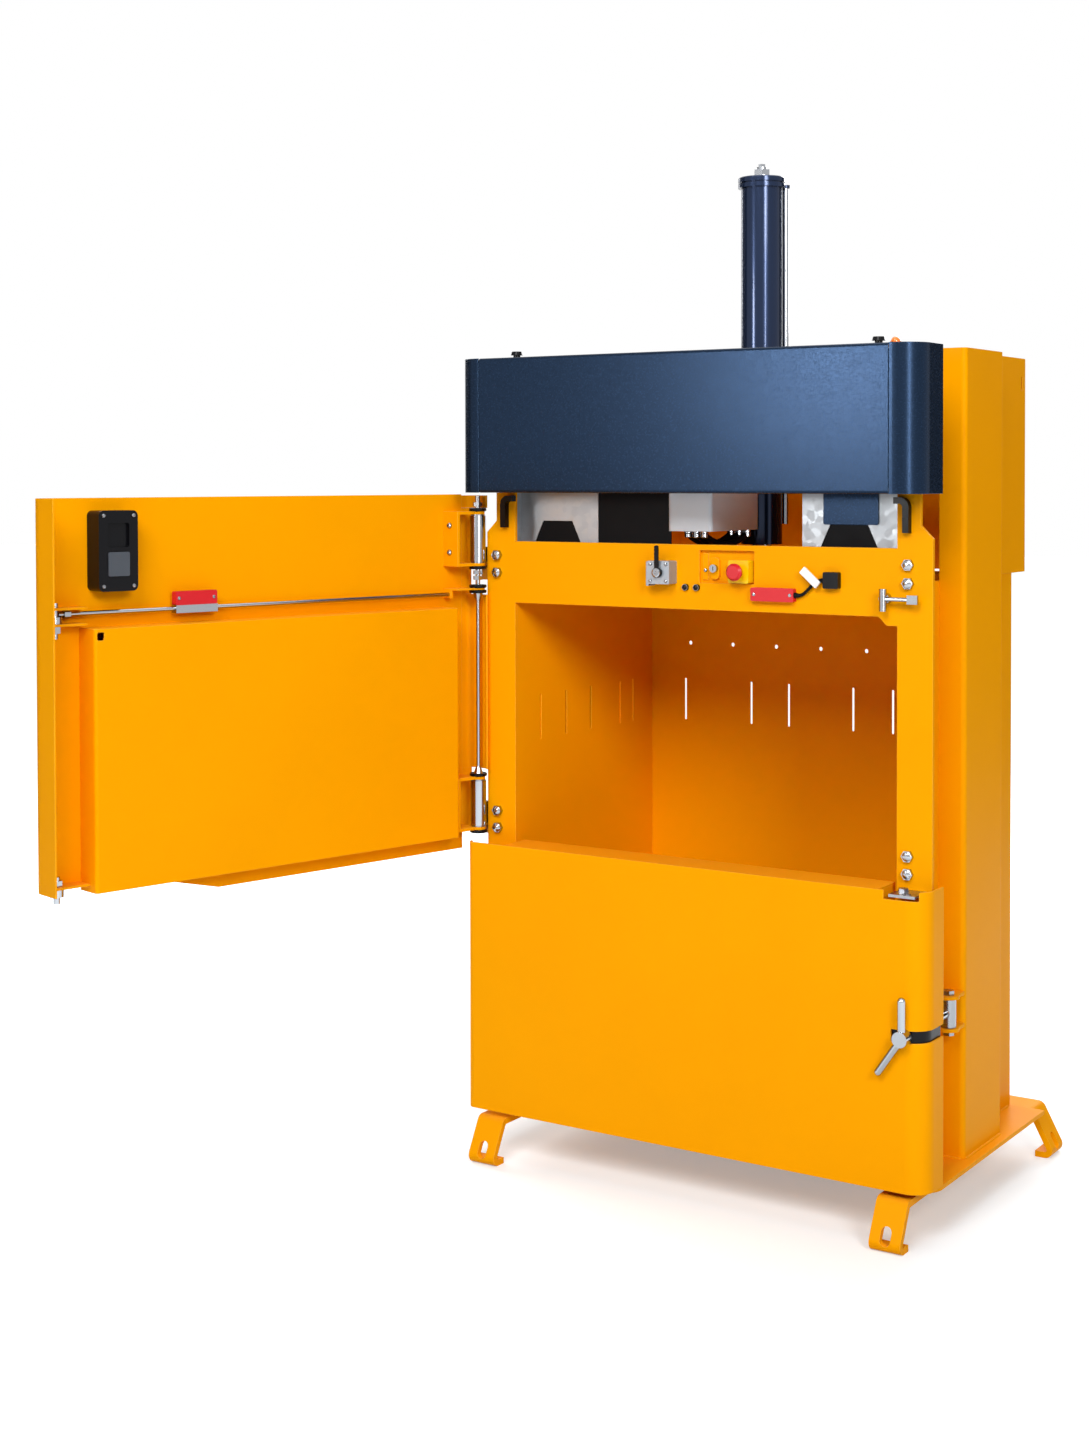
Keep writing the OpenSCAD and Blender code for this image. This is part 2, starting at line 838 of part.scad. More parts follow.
module backing_plate() {
    t = 3;
    size = [110, 140];
    corner = 4;
    color(cover_blue) front_plate(plate_y - t, t)
        translate([wall_x - 168, beam_top + 40]) round_rect(size, corner);
}

module cover_hooks() {
    grip_t = 12;
    grip_w = 14;
    run = 11;
    drop = 46;
    r = 6;
    color(black) for (side = [0, 1]) mirror([side, 0, 0])
        translate([wall_x - 2, frame_y, cover_z - r]) rotate([90, 0, 0]) linear_extrude(grip_w)
            mirror([0, 1]) bent_strip([[run, 90, r], [drop, 0, 0]], grip_t);
}

// Control beam

module control_panel() {
    strip_w = 11;
    strip_t = 2;
    edge = 8;
    color(paint) {
        front_plate(frame_back, panel_back_t) translate([window_x - edge, window_z - edge])
            square([window_w + 2 * edge, beam_top - wall_t - window_z + edge - 1]);
        front_plate(frame_back - strip_t, strip_t) translate([window_x + 5, window_z + 6])
            square([strip_w, window_h - 12]);
    }
}

module estop_base() {
    color([0.96, 0.78, 0.02]) difference() {
        front_plate(estop_front, frame_back - estop_front)
            translate([estop_x - estop_w / 2, estop_z - estop_w / 2]) round_rect([estop_w, estop_w], 4);
        translate([estop_x, 0, estop_z]) rod_y(estop_stem + 2 * run_gap, estop_front - 1, frame_back - 4);
    }
}

module estop_button() {
    cap_h = 12;
    cap_y = estop_front - 22;
    color(signal_red) translate([estop_x, 0, estop_z]) {
        rod_y(estop_stem, cap_y + cap_h, estop_front + 8);
        rotate([-90, 0, 0]) rotate_extrude() polygon([
            [0, cap_y], [estop_cap / 2 - 4, cap_y], [estop_cap / 2, cap_y + 4],
            [estop_cap / 2, cap_y + 8], [estop_stem / 2 + 2, cap_y + cap_h], [0, cap_y + cap_h]
        ]);
    }
}

module key_plate() {
    w = 18;
    h = 41;
    t = key_plate_t;
    color(paint) difference() {
        front_plate(frame_back - t, t) translate([key_x - w / 2, key_z - h / 2]) round_rect([w, h], 8);
        translate([key_x, 0, key_z]) rod_y(key_stem + 2 * run_gap, frame_back - t - 1, frame_back - 1);
    }
}

module key_switch() {
    slit = 2;
    face = frame_back - 14;
    color(zinc) translate([key_x, 0, key_z]) difference() {
        union() {
            rod_y(key_d, face, frame_back - key_plate_t - pass_gap);
            rod_y(key_stem, frame_back - key_plate_t - pass_gap, frame_back - 1.5);
        }
        translate([-slit / 2, face - 1, -key_d / 4]) cube([slit, 4, key_d / 2]);
    }
}

module limit_switch_body() {
    side_t = 6;
    color([0.72, 0.74, 0.75]) difference() {
        union() {
            front_plate(limit_front, frame_y - limit_front)
                translate([limit_x - limit_w / 2, limit_z - limit_h / 2]) round_rect([limit_w, limit_h], 3);
            front_plate(limit_front + 6, frame_y - limit_front - 6)
                translate([limit_x - limit_w / 2 - side_t, limit_z - limit_h / 2 - 4])
                    square([side_t, limit_h + 2]);
        }
        translate([limit_x, 0, limit_z]) rod_y(limit_stem + 2 * run_gap, limit_front - 1, limit_front + 18);
    }
}

module limit_switch_lever() {
    hub_d = 19;
    arm_w = 8;
    arm_h = 48;
    y = limit_front - 8;
    color(black) translate([limit_x, 0, limit_z]) {
        rod_y(hub_d, y, limit_front - pass_gap);
        rod_y(limit_stem, limit_front - pass_gap, limit_front + 16);
        translate([-arm_w / 2, y, 0]) cube([arm_w, 4, arm_h]);
        translate([0, 0, arm_h]) rod_y(arm_w, y, y + 4);
    }
}

module door_sensor() {
    color(signal_red) front_plate(frame_y - sensor_d, sensor_d) translate([sensor_x, sensor_z]) difference() {
        round_rect([sensor_w, sensor_h], 3);
        for (x = [7, sensor_w - 7]) translate([x, sensor_h / 2]) circle(d = 5);
    }
}

module sensor_lead() {
    rise = socket_z + 14 - sensor_z - sensor_h / 2;
    bend = 45;
    slope = (rise - 2 * lead_r * (1 - cos(bend))) / sin(bend);
    span = socket_x - sensor_x - sensor_w;
    flat = (span - 2 * lead_r * sin(bend) - slope * cos(bend)) / 2;
    color(black) translate([sensor_x + sensor_w, frame_y - sensor_d / 2, sensor_z + sensor_h / 2])
        bent_rod([[flat, bend, lead_r], [slope, -bend, lead_r], [flat, 0, 0]], lead_d);
}

module lead_socket() {
    color(black) front_plate(frame_y - socket_d, socket_d)
        translate([socket_x, socket_z]) round_rect([socket_w, socket_w], 3);
}

module frame_bolts() {
    color(zinc) {
        for (z = hinge_bolts) translate([hinge_bolt_x, frame_y, z])
            hex_bolt(bolt_d, bolt_flat, bolt_head, frame_t + leaf_t);
        for (z = keep_bolts) translate([keep_bolt_x, frame_y, z])
            hex_bolt(bolt_d, bolt_flat, bolt_head, frame_t);
    }
    color(black) for (x = [limit_x + 44, limit_x + 68]) translate([x, frame_y, beam_z + 42])
        rotate([90, 0, 0]) cylinder(d = bolt_d, h = bolt_d / 2);
}

// Hinges

// Sleeve with the leaf that it is welded to, which lies behind the upright
module hinge_barrel(z, h, d, bore, leaf_from, leaf_to) {
    web_low = max(z, leaf_from);
    web_high = min(z + h, leaf_to);
    web_w = -upright_x - leaf_room - leaf_x;
    back = frame_back + leaf_t;
    difference() {
        union() {
            translate([hinge_x, hinge_y, z]) cylinder(d = d, h = h);
            translate([leaf_x, frame_back, leaf_from]) cube([leaf_w, leaf_t, leaf_to - leaf_from]);
            translate([leaf_x, hinge_y, web_low]) cube([web_w, back - hinge_y, web_high - web_low]);
        }
        translate([hinge_x, hinge_y, z - 1]) cylinder(d = bore + 2 * run_gap, h = h + 2);
        for (b = hinge_bolts) if (b > leaf_from && b < leaf_to)
            translate([hinge_bolt_x, 0, b]) rod_y(bolt_d + 2 * pass_gap, frame_back - 1, back + 1);
    }
}

module hinge_barrels() {
    margin = 16;
    color(zinc) {
        for (i = [0, 1])
            hinge_barrel(upper_barrels[i][0], upper_barrels[i][1], barrel_upper_d, pin_upper_d,
                hinge_bolts[2 * i] - margin, hinge_bolts[2 * i + 1] + margin);
        for (b = lower_barrels) hinge_barrel(b[0], b[1], barrel_lower_d, pin_lower_d, b[0], b[0] + b[1]);
    }
}

// Door-side plate with a round eye on the hinge axis, welded to the sheet at foot_y
module hinge_plate(z, t, eye_d, hole, foot_y, foot_x, end_x) {
    neck = hinge_y - eye_d / 2;
    translate([0, 0, z]) linear_extrude(t) difference() {
        union() {
            translate([hinge_x, hinge_y]) circle(d = eye_d);
            translate([hinge_x, neck]) square([end_x - hinge_x, bracket_back - neck]);
            translate([foot_x, foot_y]) square([end_x - foot_x, neck - foot_y]);
        }
        translate([hinge_x, hinge_y]) circle(d = hole + 2 * run_gap);
    }
}

module upper_hinge_brackets() {
    foot_y = upper_y + door_t;
    strap_t = 6;
    eye = barrel_upper_d - 4;
    tie_tab = shelf_high + shelf_t - tie_z + tie_d;
    color(paint) on_open_door() {
        for (b = upper_barrels) {
            low = bracket_low(b);
            high = bracket_high(b);
            for (z = [low, high - bracket_t])
                hinge_plate(z, bracket_t, eye, pin_upper_d, foot_y, upper_skin_x, bracket_end);
            translate([bracket_end - strap_t, foot_y, low])
                cube([strap_t, bracket_back - foot_y, high - low]);
        }
        hinge_plate(shelf_high, shelf_t, eye, tie_d, foot_y, upper_skin_x, bracket_end);
        translate([bracket_end - strap_t, foot_y, tie_z - tie_d])
            cube([strap_t, tie_y + tie_d - foot_y, tie_tab]);
    }
}

// Heights of a loading-door hinge's lower and upper bracket faces
function bracket_low(b) = b[0] - bracket_gap - bracket_t;
function bracket_high(b) = b[0] + b[1] + bracket_gap + bracket_t;

// Hexagon nut on the hinge axis
module stud_nut(z) {
    translate([0, 0, z]) cylinder(d = stud_nut / cos(30), h = stud_nut_h, $fn = 6);
}

module upper_hinge_pins() {
    bush_h = bracket_gap - 2 * pass_gap;
    head_d = pin_upper_d + 8;
    stud_top = bracket_high(upper_barrels[1]) + pin_head;
    color(steel) on_open_door() translate([hinge_x, hinge_y, 0]) {
        for (b = upper_barrels) {
            low = bracket_low(b) - pin_end;
            high = bracket_high(b);
            translate([0, 0, low]) cylinder(d = pin_upper_d, h = high - low);
            translate([0, 0, high]) cylinder(d = head_d, h = pin_head);
            for (z = [b[0] - bush_h - pass_gap, b[0] + b[1] + pass_gap])
                translate([0, 0, z]) cylinder(d = barrel_upper_d - 3, h = bush_h);
        }
        translate([0, 0, stud_top]) cylinder(d = stud_d, h = 2.6 * stud_d);
        stud_nut(stud_top + pin_head);
    }
}

module hinge_rod() {
    low = bracket_high(upper_barrels[0]) + pin_head;
    tab = shelf_high + shelf_t;
    stud_top = bracket_low(upper_barrels[1]) - pin_end;
    cone_h = 22;
    cone_d = 24;
    collar = 6;
    color(zinc) on_open_door() translate([hinge_x, hinge_y, 0]) {
        translate([0, 0, low]) cylinder(d = tie_d, h = tab - low);
        translate([0, 0, shelf_high - cone_h]) cylinder(d1 = stud_d, d2 = cone_d, h = cone_h);
        translate([0, 0, tab]) cylinder(d1 = cone_d, d2 = stud_nut, h = collar);
        translate([0, 0, tab]) cylinder(d = stud_d, h = stud_top - tab);
        for (i = [1, 2]) stud_nut(stud_top - i * (stud_nut_h + 3));
        translate([0, 0, low]) cylinder(d1 = 2 * stud_d, d2 = stud_d, h = 1.4 * stud_d);
    }
}

module lower_hinge_brackets() {
    eye = barrel_lower_d - 2;
    color(paint) for (b = lower_barrels)
        for (z = [b[0] - 1 - bracket_t, b[0] + b[1] + 1])
            hinge_plate(z, bracket_t, eye, pin_lower_d, lower_t, lower_edge_r - half_w, lower_bracket_end);
}

module lower_hinge_pins() {
    color(steel) for (b = lower_barrels) translate([hinge_x, hinge_y, 0]) {
        low = b[0] - 1 - bracket_t;
        high = b[0] + b[1] + 1 + bracket_t;
        translate([0, 0, low - 3]) cylinder(d = pin_lower_d, h = high - low + 3);
        translate([0, 0, high]) cylinder(d = pin_lower_d + 6, h = 4);
    }
}

// Loading door, drawn closed and turned open

module upper_door_skin() {
    run = half_w - door_r - upper_skin_x;
    slant = [
        [skirt_slope_start, skirt_z], [skirt_slope_end, free_end_z], [half_w + 1, free_end_z],
        [half_w + 1, skirt_z - 1], [skirt_slope_start, skirt_z - 1]
    ];
    color(paint) on_open_door() difference() {
        translate([upper_skin_x, upper_y, skirt_z]) linear_extrude(upper_top - skirt_z) bent_strip([
            [run, 90, door_r - door_t], [door_return - upper_y - door_r, 0, 0]
        ], door_t);
        front_plate(upper_y - 1, door_return - upper_y + 2) polygon(slant);
    }
}

module upper_door_panel() {
    r = 3;
    fold = r + panel_t;
    back = upper_y + door_t;
    depth = panel_y - back;
    w = panel_end - panel_x;
    hole = 14;
    color(paint) on_open_door() difference() {
        translate([0, 0, panel_bottom]) {
            linear_extrude(panel_top - panel_bottom) translate([panel_x, back]) rotate(90) bent_strip([
                [depth - fold, -90, r], [w - 2 * fold, -90, r], [depth - fold, 0, 0]
            ], panel_t);
            for (z = [0, panel_top - panel_bottom - panel_t]) translate([panel_x + panel_t, back, z])
                cube([w - 2 * panel_t, depth - panel_t, panel_t]);
        }
        translate([panel_end - 8 - hole, panel_y + 1, panel_top - 6 - hole]) rotate([90, 0, 0])
            linear_extrude(panel_t + 2) round_rect([hole, hole], 3);
    }
}

module door_shelves() {
    back = upper_y + door_t;
    edge = half_w - door_t - 1;
    hole = bolt_d + 2 * pass_gap;
    levels = [free_end_z + 2, shelf_low, shelf_high];
    color(paint) on_open_door() for (z = levels) translate([0, 0, z]) linear_extrude(shelf_t)
        difference() {
            intersection() {
                translate([shelf_x, back]) square([edge - shelf_x, shelf_y - back]);
                union() {
                    translate([shelf_x, back]) square([half_w - door_r - shelf_x, shelf_y - back]);
                    translate([half_w - door_r, upper_y + door_r]) circle(door_r - door_t);
                }
            }
            translate([bolt_x, bolt_y]) circle(d = hole);
        }
}

module door_lock_bolts() {
    color(zinc) on_open_door() translate([bolt_x, bolt_y, 0]) {
        translate([0, 0, shelf_low - 22]) cylinder(d = bolt_d, h = shelf_high + shelf_t - shelf_low + 30);
        translate([0, 0, shelf_low + shelf_t]) cylinder(d = 26, h = 12);
        translate([0, 0, shelf_low - 12]) cylinder(d = 22, h = 12, $fn = 6);
        translate([0, 0, free_end_z - 24]) cylinder(d = bolt_d, h = 46);
        translate([0, 0, free_end_z + 2 + shelf_t]) cylinder(d = 22, h = 10, $fn = 6);
        translate([0, 0, free_end_z - 12]) cylinder(d = 26, h = 14);
    }
}

module tie_rods() {
    left_end = bracket_end;
    right_end = bolt_x - bolt_d / 2 - pass_gap;
    color(zinc) on_open_door() translate([0, tie_y, tie_z]) {
        translate([left_end, 0, 0]) rotate([0, 90, 0]) cylinder(d = tie_d, h = sensor_x - left_end);
        translate([sensor_x + sensor_w, 0, 0]) rotate([0, 90, 0])
            cylinder(d = tie_d, h = right_end - sensor_x - sensor_w);
        translate([right_end - 22, 0, 0]) rotate([0, 90, 0]) cylinder(d = 15, h = 12, $fn = 6);
        translate([sensor_x, -8, tie_d - 16]) cube([sensor_w, 16, 14]);
    }
}

module sensor_actuator() {
    color(signal_red) on_open_door() front_plate(tie_y - sensor_d / 2, sensor_d)
        translate([sensor_x, tie_z + tie_d - 2]) difference() {
            round_rect([sensor_w, sensor_h], 3);
            for (x = [7, sensor_w - 7]) translate([x, sensor_h / 2]) circle(d = 5);
        }
}

module lock_box() {
    back = upper_y + door_t;
    well = 6;
    pocket = button_size + 1;
    color(black) on_open_door() difference() {
        front_plate(back, lock_box_y - back) translate([lock_box_x, lock_box_z])
            round_rect([lock_box_w, lock_box_h], 10);
        front_plate(lock_box_y - 10, 11) translate([lock_box_x + (lock_box_w - pocket) / 2, button_z])
            round_rect([pocket, pocket], 3);
        front_plate(lock_box_y - well, well + 1)
            translate([lock_box_x + (lock_box_w - pocket) / 2, button_z + pocket + 8])
                round_rect([pocket, button_size], 4);
    }
}

module lock_button() {
    gap = 0.5;
    color([0.4, 0.42, 0.45]) on_open_door() front_plate(lock_box_y - 5.5, 8)
        translate([lock_box_x + (lock_box_w - button_size) / 2, button_z + gap])
            round_rect([button_size, button_size], 3);
}

// Bale door

module lower_door_skin() {
    t = lower_t;
    run = machine_w - lower_edge_r - door_r;
    notch_x = lock_x - 41;
    notch_w = 64;
    notch_h = 16;
    color(paint) difference() {
        union() {
            translate([-half_w, lower_edge_r, lower_z]) rotate(-90) linear_extrude(lower_h) bent_strip([
                [0, 90, lower_edge_r - t], [run, 90, door_r - t], [door_return - door_r, 0, 0]
            ], t);
            for (z = [lower_z, sill_z - t]) translate([lower_left, t, z])
                cube([lower_right - lower_left, lower_depth - t, t]);
        }
        translate([lock_slot_x, -1, lock_z - lock_slot_h / 2]) cube([half_w, door_return + 2, lock_slot_h]);
        translate([notch_x, -1, sill_z - notch_h]) cube([notch_w, frame_y, notch_h + 1]);
    }
}

module lower_door_panel() {
    t = lower_t;
    low = lower_z + t;
    high = sill_z - t;
    ribs = 4;
    pitch = (lower_right - lower_left - t) / (ribs + 1);
    color(paint) {
        translate([lower_left, lower_depth - t, low]) cube([lower_right - lower_left, t, high - low]);
        for (i = [0 : ribs + 1]) translate([lower_left + i * pitch, t, low])
            cube([t, lower_depth - 2 * t, high - low]);
    }
}

module t_handle() {
    hub_d = lock_slot_h + 6;
    hub_y = -24;
    arm_d = 14;
    arm_up = 66;
    arm_down = 78;
    lean = 34;
    color(zinc) translate([lock_x, 0, lock_z]) {
        rod_y(hub_d, hub_y, -pass_gap);
        rod_y(screw_d, -pass_gap, tip_y);
        translate([0, hub_y + 10, 0]) {
            cylinder(d = arm_d, h = arm_up);
            translate([0, 0, arm_up]) sphere(d = arm_d);
            rotate([0, 180 + lean, 0]) {
                cylinder(d = arm_d, h = arm_down);
                translate([0, 0, arm_down]) sphere(d = arm_d);
            }
        }
    }
}

module lock_lugs() {
    inset = 5;
    gap = 1;
    color(paint) for (z = [lock_z - nut_h / 2 - lug_t - gap, lock_z + nut_h / 2 + gap])
        translate([lock_x, nut_y, z]) linear_extrude(lug_t) difference() {
            union() {
                circle(d = lug_w);
                translate([-lug_w / 2, 0]) square([lug_w - inset, column_y - nut_y]);
            }
            circle(d = nut_pin + 2 * run_gap);
        }
}

// Upright barrel on two pins, with the cross bore for the lock screw
module barrel_nut() {
    head = 8;
    pin_h = lug_t + 1 + pass_gap;
    color(zinc) translate([lock_x, nut_y, lock_z]) {
        difference() {
            translate([0, 0, -nut_h / 2]) cylinder(d = nut_d, h = nut_h);
            rod_y(screw_d, -nut_d, nut_d);
        }
        for (side = [0, 1]) mirror([0, 0, side]) translate([0, 0, nut_h / 2]) {
            cylinder(d = nut_pin, h = pin_h);
            translate([0, 0, pin_h]) cylinder(d = bolt_flat / cos(30), h = head, $fn = 6);
        }
    }
}

module latch_keeper() {
    t = 5;
    x = bolt_x - 31;
    w = 50;
    z = sill_z - 12;
    front = 4;
    nut = 6;
    color(steel) {
        translate([0, 0, z]) linear_extrude(t) difference() {
            translate([x, front]) square([w, frame_y - front]);
            translate([bolt_x, bolt_y]) circle(d = bolt_d + 4);
        }
        translate([x + 14, front + 34, z + t]) cylinder(d = bolt_flat, h = nut, $fn = 6);
    }
}

module beam_latch() {
    y = frame_y - 18;
    lever = 57;
    color(zinc) translate([latch_x, 0, latch_z]) {
        rod_y(latch_pin, y + 7, frame_back);
        rod_y(20, y + 4, frame_y - pass_gap);
        translate([0, y, -22]) cylinder(d = 14, h = 40);
        translate([0, y, 0]) rotate([0, 90, 0]) cylinder(d = 8, h = lever - 10);
        translate([lever - 10, y - 3, -8]) cube([20, 6, 16]);
    }
}

base_plate();
front_feet();
rear_foot_bar();
left_wall();
right_wall();
back_wall();
left_column();
right_column();
front_frame();
crosshead();
front_cover();
cover_ends();
cover_knobs();
indicator_lamp();
rear_cover();
cylinder_barrel();
cylinder_cap();
cylinder_fitting();
return_pipe();
oil_tank();
pump_motor();
hydraulic_hoses();
bracket_plates();
side_screens();
backing_plate();
cover_hooks();
control_panel();
estop_base();
estop_button();
key_plate();
key_switch();
limit_switch_body();
limit_switch_lever();
door_sensor();
sensor_lead();
lead_socket();
frame_bolts();
hinge_barrels();
lock_lugs();
barrel_nut();
latch_keeper();
beam_latch();
piston_rod();
press_plate();
upper_door_skin();
upper_door_panel();
door_shelves();
upper_hinge_brackets();
upper_hinge_pins();
hinge_rod();
door_lock_bolts();
tie_rods();
lock_box();
lock_button();
sensor_actuator();
lower_door_skin();
lower_door_panel();
lower_hinge_brackets();
lower_hinge_pins();
t_handle();
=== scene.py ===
"""Finishes, small fittings and a studio for the upright waste baler.

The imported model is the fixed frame. Each operator adds one kind of piece in that frame's metres.
"""

import json
import math

import bmesh
import bpy
from mathutils import Matrix, Vector


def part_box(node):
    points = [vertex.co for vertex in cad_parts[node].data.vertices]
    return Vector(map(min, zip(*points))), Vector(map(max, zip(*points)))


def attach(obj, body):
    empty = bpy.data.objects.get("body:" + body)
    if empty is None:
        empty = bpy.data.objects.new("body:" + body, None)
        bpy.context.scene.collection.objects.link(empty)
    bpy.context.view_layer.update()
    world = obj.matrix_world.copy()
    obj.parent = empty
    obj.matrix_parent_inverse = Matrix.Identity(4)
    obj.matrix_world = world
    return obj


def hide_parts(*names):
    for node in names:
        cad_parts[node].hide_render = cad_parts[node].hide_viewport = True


bl_info = {
    "name": "Upright Baler Looks",
    "version": (1, 0, 0),
    "blender": (4, 5, 0),
    "location": "View3D > Sidebar > Baler",
    "description": "Paints the baler, adds its small fittings and sets up a pale studio",
    "category": "Object",
}

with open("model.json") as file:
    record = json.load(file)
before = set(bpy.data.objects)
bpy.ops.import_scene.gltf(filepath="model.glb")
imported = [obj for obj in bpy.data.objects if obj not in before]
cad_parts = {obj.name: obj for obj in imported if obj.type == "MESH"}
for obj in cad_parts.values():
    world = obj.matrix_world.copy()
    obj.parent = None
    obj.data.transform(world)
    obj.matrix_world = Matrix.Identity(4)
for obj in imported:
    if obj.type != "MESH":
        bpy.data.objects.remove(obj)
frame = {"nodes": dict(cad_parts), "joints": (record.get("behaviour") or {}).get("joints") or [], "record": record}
NODES = frame["nodes"]
JOINTS = {j["name"]: j for j in frame["joints"]}
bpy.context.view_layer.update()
SLOT_OF = {s["node"]: s["material_slot"] for s in frame["record"]["subparts"]}
DOOR_HINGE = Vector(JOINTS["upper_door_hinge"]["pos_m"])
DOOR_OPEN = math.radians(JOINTS["upper_door_hinge"]["range_deg"][1])
SWITCH_HUB = Vector(JOINTS["limit_lever_swing"]["pos_m"])
LOCK_SCREW = Vector(JOINTS["t_handle_spin"]["pos_m"])
BEAM_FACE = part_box("front_frame")[0][1]
PHOTO_W, PHOTO_H = 1089, 1444
MERGE = 1e-6


def colour(label, words, default):
    """A colour that a user can change."""
    return bpy.props.FloatVectorProperty(
        name=label, description=words, subtype="COLOR", size=3, min=0.0, max=1.0, default=default
    )


def number(label, words, default, **kind):
    """A number that a user can change, with a unit or subtype where one fits."""
    return bpy.props.FloatProperty(name=label, description=words, default=default, **kind)


def length(label, words, default):
    """A length in metres that a user can change."""
    return number(label, words, default, subtype="DISTANCE", unit="LENGTH")


class BalerFinishes(bpy.types.PropertyGroup):
    chamber_yellow: colour("Chamber yellow", "Powder coat on the body and the doors", (0.94, 0.36, 0.0))
    hood_blue: colour("Hood blue", "Hammered coat on the front cover", (0.012, 0.026, 0.055))
    cylinder_blue: colour("Cylinder blue", "Gloss paint on the hydraulic cylinder", (0.010, 0.022, 0.060))
    bright_zinc: colour("Bright zinc", "Plated bolts, rods and barrels", (0.38, 0.395, 0.42))
    sensor_red: colour("Sensor red", "Moulded door sensors and the stop button", (0.66, 0.010, 0.018))
    stop_yellow: colour("Stop yellow", "Moulded base of the stop button", (0.90, 0.56, 0.0))
    moulded_black: colour("Moulded black", "Lock box, hooks and knobs", (0.003, 0.003, 0.004))
    edge_yellow: colour("Edge yellow", "Light that the body's corners catch", (1.0, 0.52, 0.06))


class BalerFittings(bpy.types.PropertyGroup):
    dome_d: length("Bolt dome", "Diameter of the domes on the frame bolts' heads", 0.0175)
    sheet: length("Door sheet", "Thickness of the rolled sheet at the loading door's hinge", 0.003)
    screw_d: length("Small screw", "Head diameter of the screws in the switches and the lock box", 0.007)
    cover_screw_d: length("Cover screw", "Head diameter in the rear cover and the hinge brackets", 0.012)
    ring_d: length("Hinge ring", "Outer diameter of the rubber rings on the loading door's hinge", 0.035)
    bead: length("Weld bead", "Width of the weld beads", 0.007)
    tag: bpy.props.FloatVectorProperty(
        name="Lead tag", description="Length, thickness and height of the tag on the sensor's lead",
        subtype="XYZ", unit="LENGTH", size=3, default=(0.043, 0.006, 0.015),
    )


class BalerStudio(bpy.types.PropertyGroup):
    eye: bpy.props.FloatVectorProperty(
        name="Eye", description="Place of the camera", subtype="TRANSLATION", size=3,
        default=(1.91518, -3.36993, 1.36536),
    )
    yaw: number("Yaw", "Turn of the view to the left", math.radians(33.28), subtype="ANGLE")
    pitch: number("Pitch", "Fall of the view", math.radians(1.36), subtype="ANGLE")
    roll: number("Roll", "Roll of the view", math.radians(-0.11), subtype="ANGLE")
    focal_px: number("Focal length", "In pixels of the full frame", 2069.64, subtype="PIXEL")
    axis_px: bpy.props.FloatVectorProperty(
        name="Axis", description="Pixel on the optical axis", size=2, default=(547.33, 525.79)
    )
    key: number("Key light", "Power of the large front light", 210.0, subtype="POWER")
    sky: number("Sky", "Strength of the even light", 0.10)


# Shader groups

FLOAT, COLOR = "NodeSocketFloat", "NodeSocketColor"
PALE, MIDDLE = (0.8, 0.8, 0.8, 1), (0.7, 0.7, 0.7, 1)
GROUPS = {}


def new_group(name, inputs, outputs):
    """A node group with its sockets, its input node and its output node."""
    tree = bpy.data.node_groups.new(name, "ShaderNodeTree")
    for label, kind, default in inputs:
        made = tree.interface.new_socket(name=label, in_out="INPUT", socket_type=kind)
        made.default_value = default
    for label, kind in outputs:
        tree.interface.new_socket(name=label, in_out="OUTPUT", socket_type=kind)
    return tree, tree.nodes.new("NodeGroupInput"), tree.nodes.new("NodeGroupOutput")


def node(tree, kind, links=(), **values):
    """Add a node, set its settings or input values by name, and link its inputs."""
    made = tree.nodes.new(kind)
    for key, value in values.items():
        if hasattr(made, key):
            setattr(made, key, value)
        else:
            made.inputs[key.replace("_", " ").title()].default_value = value
    for source, target in links:
        tree.links.new(source, made.inputs[target])
    return made


def object_place(tree):
    return node(tree, "ShaderNodeTexCoord").outputs["Object"]


def noise(tree, vector, scale, detail):
    """A cloud texture. Its scale is a number or comes from another node."""
    made = node(tree, "ShaderNodeTexNoise", [(vector, "Vector")], detail=detail)
    if isinstance(scale, float):
        made.inputs["Scale"].default_value = scale
    else:
        tree.links.new(scale, made.inputs["Scale"])
    return made.outputs["Fac"]


def remap(tree, value, **ends):
    return node(tree, "ShaderNodeMapRange", [(value, "Value")], **ends).outputs["Result"]


def maths(tree, operation, first, second):
    return node(tree, "ShaderNodeMath", [(first, 0), (second, 1)], operation=operation).outputs["Value"]


def mixed(tree, share, first, second):
    """The first colour, with a share of the second."""
    links = [(share, "Fac"), (first, "Color1"), (second, "Color2")]
    return node(tree, "ShaderNodeMixRGB", links).outputs["Color"]


def peel_group():
    """Fine unevenness of a sprayed or moulded skin."""
    inputs = [("Scale", FLOAT, 400.0), ("Broad", FLOAT, 5.0)]
    tree, gin, gout = new_group("skin_peel", inputs, [("Height", FLOAT), ("Mask", FLOAT)])
    place = object_place(tree)
    tree.links.new(noise(tree, place, gin.outputs["Scale"], 3.0), gout.inputs["Height"])
    tree.links.new(noise(tree, place, gin.outputs["Broad"], 4.0), gout.inputs["Mask"])
    return tree


def tone_group():
    """Slow drift between two close tones of one finish."""
    inputs = [("Tone", COLOR, PALE), ("Second", COLOR, MIDDLE), ("Scale", FLOAT, 3.0)]
    tree, gin, gout = new_group("tone_drift", inputs, [("Color", COLOR)])
    drift = noise(tree, object_place(tree), gin.outputs["Scale"], 5.0)
    step = remap(tree, drift, from_min=0.3, from_max=0.7)
    blend = mixed(tree, step, gin.outputs["Tone"], gin.outputs["Second"])
    tree.links.new(blend, gout.inputs["Color"])
    return tree


